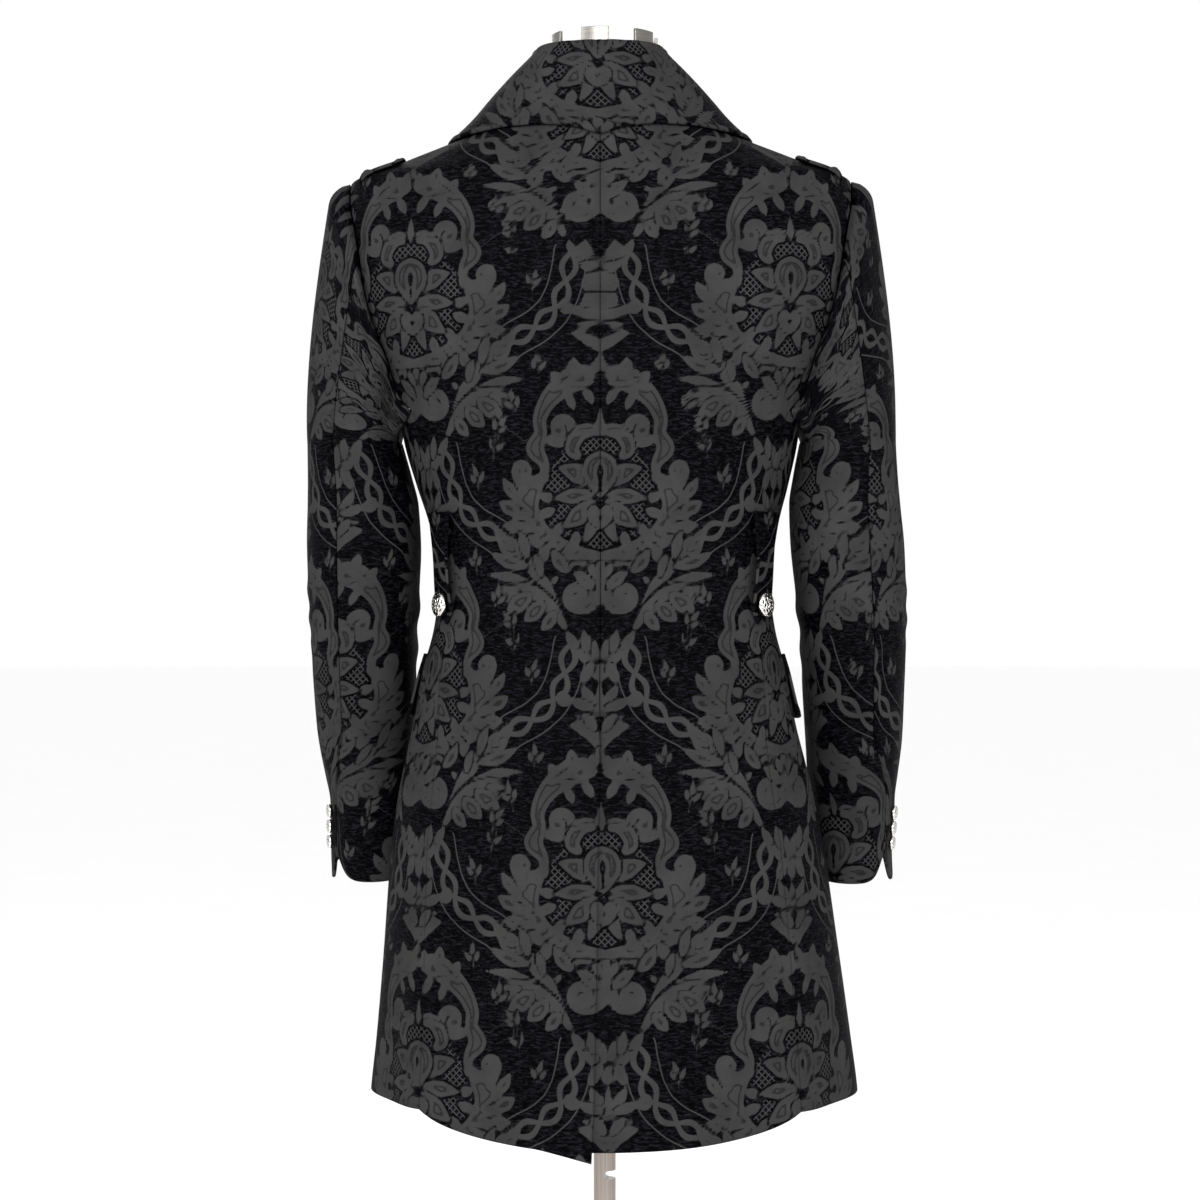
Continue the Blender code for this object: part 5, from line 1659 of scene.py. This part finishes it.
TEETH = 6
TEETH_TURN = 0.166
RING_RADII = (48, 45)
RING_BACK = 7
RING_FOOT, TEETH_FROM, RING_TOP = 1488.3, 1508, 1535
steps = 24
segments = TEETH * steps
tall = round(steps * 0.48) + 1
below = np.linspace(RING_FOOT, TEETH_FROM, 6)
levels = np.concatenate([below, np.linspace(TEETH_FROM, RING_TOP, 9)[1:]])
turn = 2 * np.pi * (np.arange(segments) - tall / 2) / segments + TEETH_TURN
faces = []
cells = np.ones((len(levels) - 1, segments), bool)
cells[5:] = (np.arange(segments) % steps < tall - 1)[None]
points = []
for radius in RING_RADII:
    for level in levels:
        points += [(radius * math.sin(t), radius * math.cos(t) + RING_BACK, level) for t in turn]
layer = len(levels) * segments
borders = {}
for i, j in zip(*np.nonzero(cells)):
    a, b = i * segments + j, i * segments + (j + 1) % segments
    c, d = b + segments, a + segments
    faces.append((b, a, d, c))
    faces.append((a + layer, b + layer, c + layer, d + layer))
    for edge in ((b, a), (a, d), (d, c), (c, b)):
        if edge[::-1] in borders:
            del borders[edge[::-1]]
        else:
            borders[edge] = True
faces += [(b, a, a + layer, b + layer) for a, b in borders]
used = sorted({int(k) for face in faces for k in face})
place = {k: n for n, k in enumerate(used)}
faces = [tuple(place[int(k)] for k in face) for face in faces]
neck_ring = from_faces("neck_ring", [points[k] for k in used], faces, ring_steel, 40)
bevel = neck_ring.modifiers.new("softened", "BEVEL")
bevel.width = 0.0004
bevel.segments = 2
bevel.limit_method = "ANGLE"
stands_for(neck_ring, "form_neck_ring")

# The stand
# A 20 mm steel tube, brushed along its length, with a round-ended notch in one side for the
# height pin. It stands in the hub of a heavy spun steel plate.

BASE = (
    (0, 0),
    (186, 0),
    (188.6, 0.5),
    (190, 2),
    (190, 7),
    (189.4, 8.6),
    (187, 9.9),
    (150, 10.6),
    (100, 11.2),
    (50, 11.8),
    (32, 12.2),
    (27, 13.4),
    (24.8, 15.6),
    (24, 19),
    (24, 43.4),
    (23.4, 45.2),
    (21.8, 46),
    (11.0, 46),
    (10.3, 45.4),
    (10.3, 5),
    (0, 5),
)
base, _ = lathe("base_plate", BASE, 160, base_steel, sharp_from=35)
stands_for(base, "stand_base")

PIN_NOTCH = 514
PIN_ROUND = 4
tube = [(10, height) for height in np.linspace(20, 860, 61)]
POLE = [(0, 5.3), (9.2, 5.3), (10, 6.1), *tube, (10, 870.9), (9.2, 871.7), (0, 871.7)]
pole, _ = lathe("pole_tube", POLE, 64, pole_steel, sharp_from=35)
notch_turns = np.radians(np.linspace(-90, 90, 13))
round_end = [(math.cos(t) - 1, math.sin(t)) for t in notch_turns]
outline = [(-6, -1), *round_end, (-6, 1)]
sides = len(outline)
points = [
    (x * PIN_ROUND * MM, y, (PIN_NOTCH + z * PIN_ROUND) * MM)
    for y in (-0.02, 0.02)
    for x, z in outline
]
faces = [tuple(range(sides)), tuple(reversed(range(sides, 2 * sides)))]
faces += [((k + 1) % sides, k, k + sides, (k + 1) % sides + sides) for k in range(sides)]
cutter_mesh = bpy.data.meshes.new("notch")
cutter_mesh.from_pydata(points, [], faces)
cutter = bpy.data.objects.new("notch", cutter_mesh)
bpy.context.scene.collection.objects.link(cutter)
cut = pole.modifiers.new("notch", "BOOLEAN")
cut.operation = "DIFFERENCE"
cut.object = cutter
shaped = bpy.data.meshes.new_from_object(pole.evaluated_get(bpy.context.evaluated_depsgraph_get()))
pole.modifiers.clear()
pole.data = shaped
bpy.data.objects.remove(cutter)
stands_for(pole, "stand_pole")

# The floor, the light and the camera
# A plain pale floor that runs into a white surround, one broad soft light from each side and
# above, and the camera level behind the coat, as in the photograph.

floor_paint, tree, shader = fresh("floor_paint", 0.0, 0.9)
specks = noise(tree, node(tree, "ShaderNodeTexCoord").outputs["Object"], 3.0, 4.0)
paint = blend(tree, specks, (0.95, 0.95, 0.95, 1), (0.98, 0.98, 0.98, 1))
tree.links.new(paint, shader.inputs["Base Color"])
FLOOR_RADIUS = 40
turns = 2 * np.pi * np.arange(96) / 96
mesh = bpy.data.meshes.new("studio_floor")
rim = [(FLOOR_RADIUS * math.cos(t), FLOOR_RADIUS * math.sin(t), 0) for t in turns]
mesh.from_pydata(rim, [], [tuple(range(len(rim)))])
floor = shown("studio_floor", mesh, floor_paint)

world = bpy.data.worlds.new("studio")
world.use_nodes = True
world.node_tree.nodes["Background"].inputs["Color"].default_value = (1, 1, 1, 1)
world.node_tree.nodes["Background"].inputs["Strength"].default_value = 1.0
bpy.context.scene.world = world
bpy.context.scene.view_settings.view_transform = "Standard"


def soft_light(name, place, aim, wide, watts):
    """A square soft box that points at a place."""
    data = bpy.data.lights.new(name, "AREA")
    data.shape = "SQUARE"
    data.size = wide
    data.energy = watts
    lamp = bpy.data.objects.new(name, data)
    lamp.location = place
    lamp.rotation_euler = (Vector(aim) - Vector(place)).to_track_quat("-Z", "Y").to_euler()
    bpy.context.scene.collection.objects.link(lamp)


soft_light("light_above", (0.3, 3.0, 2.3), (0, 0, 1.2), 1.5, 92)
soft_light("light_left", (2.4, 1.9, 1.7), (0, 0, 1.15), 1.2, 34)
soft_light("light_right", (-2.4, 1.9, 1.7), (0, 0, 1.15), 1.2, 34)
soft_light("light_front", (0.6, -2.6, 2.4), (0, 0, 1.0), 1.8, 24)

CAMERA_AT = (-0.0855, 2.4485, 1.03)
CAMERA_AIM = (0.0042, 0, 1.03)
camera_data = bpy.data.cameras.new("photo_camera")
camera_data.sensor_width = 36
camera_data.lens = 81.7
camera = bpy.data.objects.new("photo_camera", camera_data)
camera.location = CAMERA_AT
looks = Vector(CAMERA_AIM) - Vector(CAMERA_AT)
camera.rotation_euler = looks.to_track_quat("-Z", "Y").to_euler()
bpy.context.scene.collection.objects.link(camera)
bpy.context.scene.camera = camera
